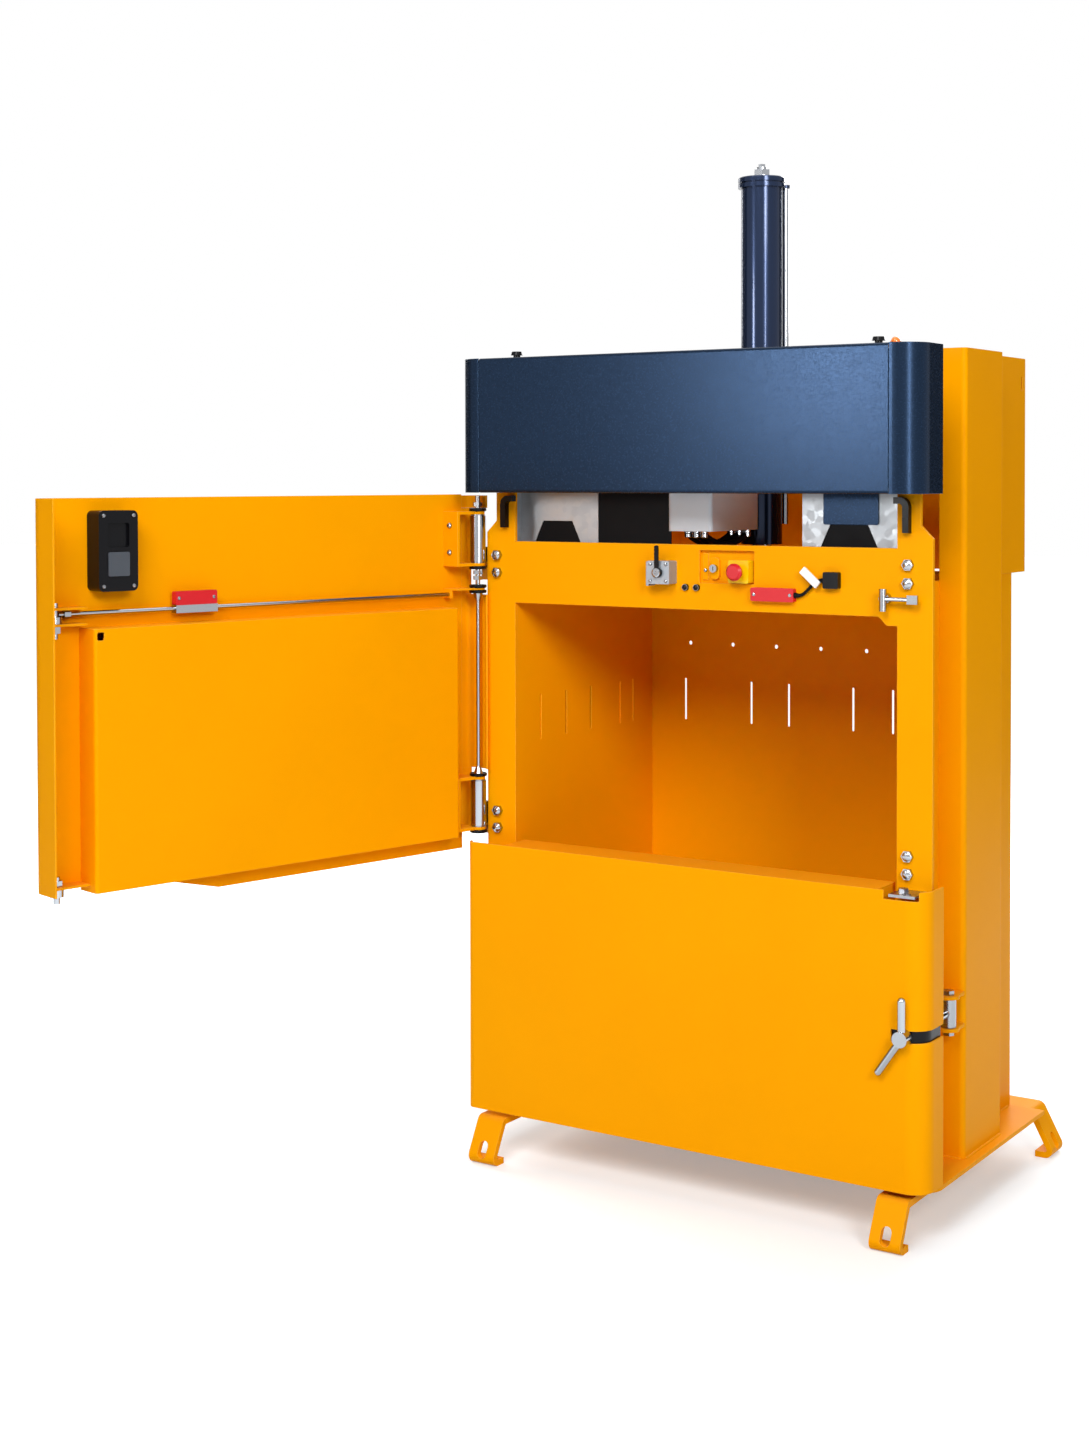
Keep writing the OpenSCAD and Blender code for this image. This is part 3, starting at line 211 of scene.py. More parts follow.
def dust_group():
    """Pale dust that settles on faces that look up."""
    inputs = [("Color", COLOR, PALE), ("Dust", COLOR, (0.6, 0.55, 0.48, 1)), ("Amount", FLOAT, 0.1)]
    tree, gin, gout = new_group("settled_dust", inputs, [("Color", COLOR)])
    face = node(tree, "ShaderNodeNewGeometry")
    axes = node(tree, "ShaderNodeSeparateXYZ", [(face.outputs["Normal"], "Vector")])
    up = remap(tree, axes.outputs["Z"], from_min=0.4, from_max=0.95)
    patch = maths(tree, "MULTIPLY", up, noise(tree, object_place(tree), 9.0, 6.0))
    share = maths(tree, "MULTIPLY", patch, gin.outputs["Amount"])
    blend = mixed(tree, share, gin.outputs["Color"], gin.outputs["Dust"])
    tree.links.new(blend, gout.inputs["Color"])
    return tree


def drawn_group():
    """Fine lines of drawn, rolled or turned metal."""
    inputs = [("Scale", FLOAT, 60.0), ("Stretch", FLOAT, 20.0)]
    tree, gin, gout = new_group("drawn_lines", inputs, [("Height", FLOAT), ("Mask", FLOAT)])
    place = object_place(tree)
    axes = node(tree, "ShaderNodeSeparateXYZ", [(place, "Vector")])
    tall = maths(tree, "MULTIPLY", axes.outputs["Z"], gin.outputs["Stretch"])
    links = [(axes.outputs["X"], "X"), (axes.outputs["Y"], "Y"), (tall, "Z")]
    along = node(tree, "ShaderNodeCombineXYZ", links).outputs["Vector"]
    tree.links.new(noise(tree, along, gin.outputs["Scale"], 4.0), gout.inputs["Height"])
    tree.links.new(noise(tree, place, 38.0, 3.0), gout.inputs["Mask"])
    return tree


def spangle_group():
    """Crystal patches of hot-dip zinc."""
    outputs = [("Height", FLOAT), ("Mask", FLOAT)]
    tree, gin, gout = new_group("zinc_spangle", [("Scale", FLOAT, 90.0)], outputs)
    links = [(object_place(tree), "Vector"), (gin.outputs["Scale"], "Scale")]
    crystal = node(tree, "ShaderNodeTexVoronoi", links)
    shade = node(tree, "ShaderNodeSeparateColor", [(crystal.outputs["Color"], "Color")])
    tree.links.new(crystal.outputs["Distance"], gout.inputs["Height"])
    tree.links.new(shade.outputs["Red"], gout.inputs["Mask"])
    return tree


def edge_group():
    """Corners of folded sheet: a normal that turns over the edge and a mask along it, where a painted highlight
    goes.
    """
    outputs = [("Normal", "NodeSocketVector"), ("Mask", FLOAT)]
    tree, gin, gout = new_group("soft_edges", [("Radius", FLOAT, 0.0015)], outputs)
    turned = node(tree, "ShaderNodeBevel", [(gin.outputs["Radius"], "Radius")], samples=4)
    face = node(tree, "ShaderNodeNewGeometry")
    links = [(turned.outputs["Normal"], 0), (face.outputs["Normal"], 1)]
    match = node(tree, "ShaderNodeVectorMath", links, operation="DOT_PRODUCT")
    line = remap(tree, match.outputs["Value"], from_min=0.98, from_max=0.78)
    tree.links.new(turned.outputs["Normal"], gout.inputs["Normal"])
    tree.links.new(line, gout.inputs["Mask"])
    return tree


def placed(tree, name, links=(), **values):
    """One of the groups above, as a node of a finish."""
    made = tree.nodes.new("ShaderNodeGroup")
    made.node_tree = GROUPS[name]
    for key, value in values.items():
        made.inputs[key].default_value = value
    for source, target in links:
        tree.links.new(source, made.inputs[target])
    return made


def close_tone(base, factor):
    """A tone that is a little lighter or darker than the base."""
    return (*[min(1.0, c * factor) for c in base], 1.0)


LEAST_ROUGH, COAT_ROUGH = 0.02, 0.08


def skin(
    name, base, rough, texture, values, bump=0.1, depth=0.0004, drift=0.9, grain=3.0,
    dust=0.0, metal=0.0, coat=0.0, spread=0.08, gloss=0.5, edge=None,
):
    """A finish: drifting tone, dust, uneven roughness, a fine relief and, on sheet, a painted highlight along the
    corners.
    """
    made = bpy.data.materials.new(name)
    made.use_nodes = True
    tree = made.node_tree
    shader = tree.nodes["Principled BSDF"]
    tone = placed(tree, "tone_drift", Tone=(*base, 1.0), Second=close_tone(base, drift), Scale=grain)
    source = tone.outputs["Color"]
    if dust:
        source = placed(tree, "settled_dust", [(source, "Color")], Amount=dust).outputs["Color"]
    relief = placed(tree, texture, **values)
    lift = node(tree, "ShaderNodeBump", [(relief.outputs["Height"], "Height")], strength=bump, distance=depth)
    # Painted highlight: the edge colour is mixed into the base colour along the corners, as the light that they
    # catch.
    if edge:
        corner = placed(tree, "soft_edges")
        corner_highlight = node(tree, "ShaderNodeMixRGB", [(corner.outputs["Mask"], "Fac"), (source, "Color1")])
        corner_highlight.inputs["Color2"].default_value = (*edge, 1.0)
        source = corner_highlight.outputs["Color"]
        tree.links.new(corner.outputs["Normal"], lift.inputs["Normal"])
    tree.links.new(source, shader.inputs["Base Color"])
    smoothest = max(LEAST_ROUGH, rough - spread)
    uneven = remap(tree, relief.outputs["Mask"], to_min=smoothest, to_max=rough + spread)
    tree.links.new(uneven, shader.inputs["Roughness"])
    tree.links.new(lift.outputs["Normal"], shader.inputs["Normal"])
    shader.inputs["Metallic"].default_value = metal
    shader.inputs["Specular IOR Level"].default_value = gloss
    shader.inputs["Coat Weight"].default_value = coat
    if coat:
        shader.inputs["Coat Roughness"].default_value = COAT_ROUGH
    return made


class BALER_OT_finishes(bpy.types.Operator):
    """Give every CAD node the finish of its material slot"""

    bl_idname = "baler.finishes"
    bl_label = "Finishes"

    def execute(self, context):
        for name, build in (
            ("skin_peel", peel_group), ("tone_drift", tone_group), ("settled_dust", dust_group),
            ("drawn_lines", drawn_group), ("zinc_spangle", spangle_group), ("soft_edges", edge_group),
        ):
            GROUPS[name] = build()
        tones = context.scene.baler_finishes
        finishes = {**self.paints(tones), **self.metals(tones), **self.mouldings(tones)}
        for name, obj in NODES.items():
            obj.data.materials.clear()
            obj.data.materials.append(finishes[SLOT_OF[name]])
        return {"FINISHED"}

    def paints(self, tones):
        peel = {"Scale": 420.0, "Broad": 4.0}
        hammered = {"Scale": 430.0, "Broad": 300.0}
        # Each edge colour below is a painted highlight along the finish's corners.
        return {
            "yellow_paint": skin(
                "yellow_powder_coat", tones.chamber_yellow, 0.38, "skin_peel", peel, 0.10,
                drift=0.95, dust=0.03, gloss=0.02, edge=tones.edge_yellow,
            ),
            "blue_paint": skin(
                "hammered_blue_coat", tones.hood_blue, 0.26, "skin_peel", hammered, 0.13, 0.0006,
                drift=0.7, grain=330.0, dust=0.03, metal=0.6, gloss=0.1, edge=(0.06, 0.11, 0.2),
            ),
            "cylinder_paint": skin(
                "gloss_blue_paint", tones.cylinder_blue, 0.2, "skin_peel", peel, 0.02,
                metal=0.5, gloss=0.15, coat=0.25, spread=0.05,
            ),
            # The tank's own pale bluish grey, painted lighter and bluer to offset the shade under the hood and the
            # yellow light that the body throws on it.
            "grey_paint": skin(
                "grey_tank_paint", (0.76, 0.84, 0.93), 0.36, "skin_peel", peel, 0.06,
                dust=0.06, edge=(0.8, 0.82, 0.84),
            ),
        }

    def metals(self, tones):
        plate = {"Scale": 60.0, "Broad": 25.0}
        turned = {"Scale": 240.0, "Stretch": 30.0}
        return {
            "zinc": skin(
                "bright_zinc_plate", tones.bright_zinc, 0.16, "skin_peel", plate, 0.004,
                drift=0.92, metal=1.0, spread=0.03,
            ),
            "steel": skin(
                "ground_steel", (0.3, 0.31, 0.33), 0.28, "drawn_lines", turned, 0.03,
                metal=1.0, spread=0.06,
            ),
            "galvanised": skin(
                "galvanised_sheet", (0.33, 0.35, 0.37), 0.45, "zinc_spangle", {"Scale": 80.0}, 0.03,
                drift=0.85, metal=0.9, spread=0.1,
            ),
        }

    def mouldings(self, tones):
        """Castings, rubber and plastics, which share one fine pebbled skin."""
        pebbled = "skin_peel", {"Scale": 900.0, "Broad": 30.0}
        black, red, yellow = tones.moulded_black, tones.sensor_red, tones.stop_yellow
        return {
            "motor_grey": skin("motor_casting", (0.05, 0.055, 0.06), 0.5, *pebbled, 0.3, dust=0.1),
            "black_rubber": skin(
                "black_rubber", (0.003, 0.003, 0.004), 0.5, *pebbled, 0.2, drift=1.5, gloss=0.08
            ),
            "black_plastic": skin("black_moulding", black, 0.24, *pebbled, 0.06, drift=1.3, gloss=0.14),
            "red_plastic": skin("red_moulding", red, 0.3, *pebbled, 0.06, gloss=0.3),
            "yellow_plastic": skin("yellow_moulding", yellow, 0.3, *pebbled, 0.06, drift=0.94, gloss=0.2),
            "grey_plastic": skin("grey_moulding", (0.06, 0.07, 0.085), 0.4, *pebbled, 0.08, gloss=0.3),
            "switch_grey": skin("switch_casting", (0.34, 0.37, 0.41), 0.36, *pebbled, 0.14, metal=0.3),
            "lamp_orange": skin("lamp_lens", (0.95, 0.22, 0.0), 0.15, *pebbled, 0.02, coat=0.5),
        }


# Pieces

FACE_FRONT = Matrix.Rotation(math.radians(90), 4, "X")
FACE_BACK = Matrix.Rotation(math.radians(-90), 4, "X")
FACE_RIGHT = Matrix.Rotation(math.radians(90), 4, "Y")
FACE_LEFT = Matrix.Rotation(math.radians(-90), 4, "Y")


def at(x, y, z):
    return Matrix.Translation((x, y, z))


def on_door(place):
    """A place on the closed loading door, moved to where the door stands open."""
    turn = Matrix.Rotation(-DOOR_OPEN, 4, "Z")
    return Matrix.Translation(DOOR_HINGE) @ turn @ Matrix.Translation(-DOOR_HINGE) @ place


def linked(name, data):
    """An object of this data, at the scene's origin."""
    obj = bpy.data.objects.new(name, data)
    bpy.context.scene.collection.objects.link(obj)
    return obj


def from_mesh(name, mesh):
    """An object of a finished bmesh."""
    data = bpy.data.meshes.new(name)
    mesh.to_mesh(data)
    mesh.free()
    return linked(name, data)


def dressed(obj, material_of, body):
    """Give an added piece the finish and slot of a CAD node, and let it ride on a body."""
    obj.data.materials.append(NODES[material_of].data.materials[0])
    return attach(obj, body)


def piece(name, mesh, material_of, body):
    """Clean up a bmesh and make a dressed object of it."""
    bmesh.ops.remove_doubles(mesh, verts=mesh.verts, dist=MERGE)
    bmesh.ops.recalc_face_normals(mesh, faces=mesh.faces)
    return dressed(from_mesh(name, mesh), material_of, body)


def settle(mesh, place):
    """Put what was made last in its place, and mark it as placed."""
    fresh = [v for v in mesh.verts if not v.tag]
    bmesh.ops.transform(mesh, matrix=place, verts=fresh)
    for v in fresh:
        v.tag = True


def only(kind, geometry):
    return [g for g in geometry if isinstance(g, kind)]


def lathe(mesh, profile, place, steps=32):
    """Spin a few points of (radius, height) about Z into a turned form, then put it in place."""
    verts = [mesh.verts.new((r, 0.0, z)) for r, z in profile]
    edges = [mesh.edges.new(pair) for pair in zip(verts, verts[1:])]
    bmesh.ops.spin(
        mesh, geom=verts + edges, cent=(0, 0, 0), axis=(0, 0, 1), angle=math.tau, steps=steps, use_merge=True
    )
    bmesh.ops.remove_doubles(mesh, verts=[v for v in mesh.verts if not v.tag], dist=MERGE)
    settle(mesh, place)


def slab(mesh, size, place, soft):
    """A block with rounded edges. The bevel tags its new corners, so they are untagged again."""
    made = bmesh.ops.create_cube(mesh, size=1.0)["verts"]
    bmesh.ops.scale(mesh, vec=size, verts=made)
    edges = list({e for v in made for e in v.link_edges})
    rounded = bmesh.ops.bevel(
        mesh, geom=edges, offset=soft, segments=2, profile=0.5, affect="EDGES", material=-1
    )
    for v in {v for f in rounded["faces"] for v in f.verts}:
        v.tag = False
    settle(mesh, place)


def screw(mesh, place, d):
    """A pan head with a round socket in it."""
    r, h = d / 2, d * 0.42
    socket = [(0, h * 0.5), (r * 0.36, h * 0.5), (r * 0.42, h)]
    head = [(r * 0.75, h * 0.95), (r * 0.95, h * 0.6), (r, 0), (0, 0)]
    lathe(mesh, socket + head, place, 20)


def ring(mesh, place, inner, outer, h):
    """A ring with soft outer edges that stands on z = 0."""
    soft = min(0.0012, h / 4)
    foot = [(inner, 0), (outer - soft, 0), (outer, soft)]
    head = [(outer, h - soft), (outer - soft, h), (inner, h), (inner, 0)]
    lathe(mesh, foot + head, place)


def bead(mesh, start, end, width):
    """A weld bead with fine ripples along a straight joint."""
    start, end = Vector(start), Vector(end)
    run, valley = end - start, 0.86
    cuts = max(6, int(run.length / (width * 0.5)))
    made = bmesh.ops.create_cone(
        mesh, cap_ends=True, segments=8, radius1=width / 2, radius2=width / 2, depth=run.length
    )["verts"]
    edges = {e for v in made for e in v.link_edges}
    long_edges = [e for e in edges if abs(e.verts[0].co.z - e.verts[1].co.z) > width]
    bmesh.ops.subdivide_edges(mesh, edges=long_edges, cuts=cuts, use_grid_fill=True)
    for v in mesh.verts:
        if not v.tag:
            step = round((v.co.z / run.length + 0.5) * (cuts + 1))
            swell = 1.0 if step % 2 else valley
            v.co.x, v.co.y = v.co.x * swell, v.co.y * swell
    turn = run.to_track_quat("Z", "Y").to_matrix().to_4x4()
    settle(mesh, Matrix.Translation((start + end) / 2) @ turn)


def tube(name, points, d, material_of, body):
    """A cord of one open spline through the points."""
    line = bpy.data.curves.new(name, "CURVE")
    line.dimensions = "3D"
    line.bevel_depth, line.bevel_resolution, line.use_fill_caps = d / 2, 5, True
    spline = line.splines.new("POLY")
    spline.points.add(len(points) - 1)
    for knot, place in zip(spline.points, points):
        knot.co = (*place, 1.0)
    return dressed(linked(name, line), material_of, body)


class BALER_OT_lead(bpy.types.Operator):
    """Lay the door sensor's lead to its socket, with its boots and its white tag"""

    bl_idname = "baler.lead"
    bl_label = "Sensor lead"

    def execute(self, context):
        low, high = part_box("sensor_lead")
        lead_d = high[1] - low[1]
        points = self.route(low, high, lead_d)
        lead = tube("sensor_lead_cable", points, lead_d, "sensor_lead", "frame")
        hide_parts("sensor_lead")
        boots = self.boots(points)
        tag = self.tag(context.scene.baler_fittings.tag, points[0][1] - lead_d / 2)
        return {"FINISHED"}

    def route(self, low, high, lead_d):
        """Points along a level run, a bend, a slope, a bend back and a level run."""
        bend, turn, steps = 0.022, math.radians(45), 8
        y, start, end = (low[1] + high[1]) / 2, low[2] + lead_d / 2, high[2] - lead_d / 2
        slope = (end - start - 2 * bend * (1 - math.cos(turn))) / math.sin(turn)
        flat = (high[0] - low[0] - 2 * bend * math.sin(turn) - slope * math.cos(turn)) / 2
        points = [(low[0] + flat * k / 3, y, start) for k in range(4)]
        for k in range(1, steps + 1):
            a = turn * k / steps
            points.append((low[0] + flat + bend * math.sin(a), y, start + bend * (1 - math.cos(a))))
        foot_x, foot_z = points[-1][0], points[-1][2]
        x, z = foot_x + slope * math.cos(turn), foot_z + slope * math.sin(turn)
        points += [(foot_x * 0.5 + x * 0.5, y, foot_z * 0.5 + z * 0.5), (x, y, z)]
        for k in range(1, steps + 1):
            a = turn * (1 - k / steps)
            aside, rise = math.sin(turn) - math.sin(a), math.cos(a) - math.cos(turn)
            points.append((x + bend * aside, y, z + bend * rise))
        points.append((high[0], y, end))
        return points

    def boots(self, points):
        mesh = bmesh.new()
        collar = [(0, 0), (0.0052, 0), (0.0052, 0.003), (0.0040, 0.0045)]
        sleeve = [(0.0044, 0.006), (0.0036, 0.0085), (0.0032, 0.011), (0, 0.011)]
        lathe(mesh, collar + sleeve, at(*points[0]) @ FACE_RIGHT, 24)
        lathe(mesh, collar + sleeve, at(*points[-1]) @ FACE_LEFT, 24)
        return piece("lead_boots", mesh, "sensor_lead", "frame")

    def tag(self, size, lead_front):
        """The white tag, which lies along the slope and takes the lead's front a little into it."""
        x, z, grip, soft = 0.2455, 1.1805, 0.001, 0.0012
        lean = Matrix.Rotation(math.radians(41), 4, "Y")
        mesh = bmesh.new()
        slab(mesh, size, at(x, lead_front - size[1] / 2 + grip, z) @ lean, soft)
        tag = piece("lead_tag", mesh, "oil_tank", "frame")
        paper = {"Scale": 600.0, "Broad": 20.0}
        white = (0.86, 0.86, 0.85)
        tag.data.materials[0] = skin("white_tag", white, 0.5, "skin_peel", paper, 0.04, drift=0.96)
        return tag


class BALER_OT_hoses(bpy.types.Operator):
    """Hang the three hydraulic hoses under the oil tank, with their crimped ends"""

    bl_idname = "baler.hoses"
    bl_label = "Hydraulic hoses"

    def execute(self, context):
        tank_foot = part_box("oil_tank")[0][2]
        start, reach = Vector((-0.068, 0.152, tank_foot)), Vector((0.04, 0.1, 0))
        count, pitch, hose_d, end_h = 3, 0.018, 0.012, 0.014
        collar = [(0, 0), (0.0078, 0), (0.008, -0.002), (0.008, -0.005), (0.0068, -0.0055)]
        sleeve = [(0.0076, -0.0065), (0.0076, -0.0125), (0.0066, -end_h), (0, -end_h)]
        ends, hoses = bmesh.new(), []
        for i in range(count):
            first = start + Vector((i * pitch, 0, 0))
            points = self.hang(first - Vector((0, 0, end_h / 2)), reach)
            hose = tube(f"hydraulic_hose_{i + 1}", points, hose_d, "hydraulic_hoses", "frame")
            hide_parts("hydraulic_hoses")
            hoses.append((hose, points))
            for spot in (first, first + reach):
                lathe(ends, collar + sleeve, Matrix.Translation(spot), 24)
        fittings = piece("hose_crimps", ends, "cylinder_fitting", "frame")
        return {"FINISHED"}

    def hang(self, start, reach):
        """Points of an arc that sags between its two ends."""
        sag, steps = 0.02, 24
        half = reach.length / 2
        bend = (half * half + sag * sag) / (2 * sag)
        spread = math.asin(half / bend)
        points = []
        for k in range(steps + 1):
            a = spread * (2 * k / steps - 1)
            along = half + bend * math.sin(a)
            fall = bend * math.cos(a) - (bend - sag)
            points.append(start + reach.normalized() * along - Vector((0, 0, fall)))
        return points


class BALER_OT_door_roll(bpy.types.Operator):
    """Roll the loading door's sheet round its hinge rod, and cut it back beside the hinge barrels"""

    bl_idname = "baler.door_roll"
    bl_label = "Door roll"

    def execute(self, context):
        half = context.scene.baler_fittings.sheet / 2
        rolled, cut_back, seam = 130, 250, 0.0002
        mesh = bmesh.new()
        for low, high, last in (
            (0.65, 0.775, cut_back), (0.775, 1.128, rolled),
            (1.128, 1.3026, cut_back), (1.3026, 1.328, rolled),
        ):
            self.strip(mesh, self.section(low, last), half, high - seam - low)
        settle(mesh, on_door(at(DOOR_HINGE.x, DOOR_HINGE.y, 0)))
        piece("door_roll", mesh, "upper_door_skin", "upper_door")
        return {"FINISHED"}

    def section(self, z, last):
        """Middle of the sheet about the hinge's axis, from the flat front round to the last angle."""
        front, tight, edge = 0.0405, 0.018, 0.010
        flat, ease, step = 270, 80, 4
        line = [Vector((edge, -front, z))]
        for turn in range(flat, last - 1, -step):
            share = min(1.0, (flat - turn) / ease)
            r = front + (tight - front) * share * share * (3 - 2 * share)
            line.append(Vector((r * math.cos(math.radians(turn)), r * math.sin(math.radians(turn)), z)))
        return line

    def strip(self, mesh, line, half, rise):
        """A bent sheet that stands up from a line of points, half its thickness to each side."""
        rows = []
        for k, point in enumerate(line):
            along = line[min(k + 1, len(line) - 1)] - line[max(k - 1, 0)]
            aside = Vector((-along.y, along.x, 0)).normalized() * half
            rows.append((mesh.verts.new(point + aside), mesh.verts.new(point - aside)))
        faces = [mesh.faces.new((a[0], a[1], b[1], b[0])) for a, b in zip(rows, rows[1:])]
        made = bmesh.ops.extrude_face_region(mesh, geom=faces)["geom"]
        bmesh.ops.translate(mesh, vec=(0, 0, rise), verts=only(bmesh.types.BMVert, made))


class BALER_OT_domes(bpy.types.Operator):
    """Dome the heads of the frame bolts, and cap the two small ones on the beam"""

    bl_idname = "baler.domes"
    bl_label = "Bolt domes"

    def execute(self, context):
        r, face = context.scene.baler_fittings.dome_d / 2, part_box("frame_bolts")[0][1]
        crown = [(0, r * 0.30), (r * 0.35, r * 0.27), (r * 0.65, r * 0.18), (r * 0.88, r * 0.08)]
        left_x, left_z = -0.454, (0.658, 0.692, 1.173, 1.208)
        right_x, right_z = 0.434, (0.655, 0.687, 1.174, 1.207)
        mesh = bmesh.new()
        for x, heights in ((left_x, left_z), (right_x, right_z)):
            for z in heights:
                lathe(mesh, crown + [(r, 0), (0, 0)], at(x, face, z) @ FACE_FRONT)
        piece("bolt_domes", mesh, "frame_bolts", "frame")
        self.caps()
        return {"FINISHED"}

    def caps(self):
        """Black caps over the two small bolts."""
        bolts_x, bolts_z = (-0.02, 0.004), 1.155
        cap = [(0, 0.0073), (0.0038, 0.0070), (0.0058, 0.0058), (0.0064, 0.0040), (0.0064, 0), (0, 0)]
        mesh = bmesh.new()
        for x in bolts_x:
            lathe(mesh, cap, at(x, BEAM_FACE, bolts_z) @ FACE_FRONT)
        piece("beam_caps", mesh, "cover_hooks", "frame")


class BALER_OT_rings(bpy.types.Operator):
    """Add the rubber rings above and below the loading door's hinge flanges"""

    bl_idname = "baler.rings"
    bl_label = "Hinge rings"

    def execute(self, context):
        outer, h = context.scene.baler_fittings.ring_d / 2, 0.0065
        wide, middle, narrow = 0.0143, 0.0123, 0.0103
        flange_low, flange_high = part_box("upper_hinge_brackets")
        shelf_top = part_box("door_shelves")[1][2]
        shelf_foot = shelf_top - 0.004
        above = ((flange_high[2], wide), (0.762, wide), (shelf_top, middle))
        below = ((1.186, narrow), (flange_low[2], narrow), (shelf_foot, middle))
        mesh = bmesh.new()
        for z, inner in (*above, *((z - h, inner) for z, inner in below)):
            ring(mesh, at(DOOR_HINGE.x, DOOR_HINGE.y, z), inner, outer, h)
        piece("hinge_rings", mesh, "cover_hooks", "upper_door")
        return {"FINISHED"}


class BALER_OT_screws(bpy.types.Operator):
    """Add the small screws in the switches, the lock box, the hinge brackets and the rear cover"""

    bl_idname = "baler.screws"
    bl_label = "Screws"

    def execute(self, context):
        small, large = context.scene.baler_fittings.screw_d, context.scene.baler_fittings.cover_screw_d
        low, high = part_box("door_sensor")
        sensor_x = (low[0] + 0.007, high[0] - 0.007)
        self.heads("switch_screws", self.on_switches(sensor_x), small, "latch_keeper", "frame")
        self.heads("lock_box_screws", self.on_lock_box(sensor_x), small, "latch_keeper", "upper_door")
        self.heads("bracket_screws", self.on_brackets(), large, "frame_bolts", "upper_door")
        self.heads("rear_cover_screws", self.on_rear_cover(), large, "frame_bolts", "frame")
        return {"FINISHED"}

    def heads(self, name, places, d, material_of, body):
        mesh = bmesh.new()
        for place in places:
            screw(mesh, place, d)
        piece(name, mesh, material_of, body)

    def on_switches(self, sensor_x):
        """Two in the door sensor, four round the limit switch's hub and one in the control panel."""
        low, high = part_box("door_sensor")
        sink, aside, rise = 0.0015, 0.017, 0.016
        panel_x, panel_z, panel_face = 0.0195, 1.188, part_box("control_panel")[0][1]
        switch_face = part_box("limit_switch_body")[0][1]
        spots = [(x, low[1] + sink, (low[2] + high[2]) / 2) for x in sensor_x]
        for x in (SWITCH_HUB.x - aside, SWITCH_HUB.x + aside):
            spots += [(x, switch_face, SWITCH_HUB.z - rise), (x, switch_face, SWITCH_HUB.z + rise)]
        spots.append((panel_x, panel_face, panel_z))
        return [at(*spot) @ FACE_FRONT for spot in spots]

    def on_lock_box(self, sensor_x):
        """Two in the sensor's counterpart and four in the lock box, on the closed door."""
        actuator_low, actuator_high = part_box("sensor_actuator")
        box_low, box_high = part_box("lock_box")
        actuator_face, box_face, box_x, inset = 0.018, 0.037, (0.309, 0.369), 0.009
        actuator_z = (actuator_low[2] + actuator_high[2]) / 2
        spots = [(x, actuator_face, actuator_z) for x in sensor_x]
        for x in box_x:
            spots += [(x, box_face, box_low[2] + inset), (x, box_face, box_high[2] - inset)]
        return [on_door(at(*spot) @ FACE_BACK) for spot in spots]

    def on_brackets(self):
        bracket_face, y = -0.43, 0.018
        return [on_door(at(bracket_face, y, z) @ FACE_RIGHT) for z in (0.684, 0.732, 1.214, 1.268)]

    def on_rear_cover(self):
        low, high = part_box("rear_cover")
        y = low[1] + 0.016
        places = []
        for z in (1.2, 1.38, 1.57):
            places += [at(high[0], y, z) @ FACE_RIGHT, at(low[0], y, z) @ FACE_LEFT]
        return places


class BALER_OT_hub_cap(bpy.types.Operator):
    """Cap the hub of the limit switch's lever with a bright disc"""

    bl_idname = "baler.hub_cap"
    bl_label = "Hub cap"

    def execute(self, context):
        lever_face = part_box("limit_switch_lever")[0][1]
        hollow = [(0, 0.0012), (0.002, 0.0012), (0.0025, 0.0018)]
        rim = [(0.0065, 0.0018), (0.0085, 0.0012), (0.009, 0), (0, 0)]
        mesh = bmesh.new()
        lathe(mesh, hollow + rim, at(SWITCH_HUB.x, lever_face, SWITCH_HUB.z) @ FACE_FRONT)
        piece("hub_cap", mesh, "frame_bolts", "limit_switch_lever")
        return {"FINISHED"}


class BALER_OT_welds(bpy.types.Operator):
    """Run the painted weld beads along the column feet and the lock's lugs"""

    bl_idname = "baler.welds"
    bl_label = "Weld beads"

    def execute(self, context):
        wide = context.scene.baler_fittings.bead
        slim, fine = wide * 0.8, wide * 0.7
        (inner, front, _), (outer, back, _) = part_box("right_column")
        wall_front, wall_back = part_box("right_wall")[0][1] + 0.004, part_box("back_wall")[0][1]
        base, lug_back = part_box("base_plate")[1][2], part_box("lock_lugs")[1][1]
        end, gap = 0.008, 0.01
        mesh = bmesh.new()
        for side in (-1, 1):
            for x0, y0, x1, y1, width in (
                (inner + 0.005, front, outer - 0.006, front, wide),
                (outer, front + end, outer, back - end, wide),
                (inner, wall_front, inner, front - gap, slim),
                (inner, back + gap, inner, wall_back, slim),
            ):
                bead(mesh, (side * x0, y0, base), (side * x1, y1, base), width)
        for z in (0.3505, 0.4045):
            bead(mesh, (0.434, lug_back, z), (0.466, lug_back, z), fine)
        piece("weld_beads", mesh, "left_column", "frame")
        return {"FINISHED"}


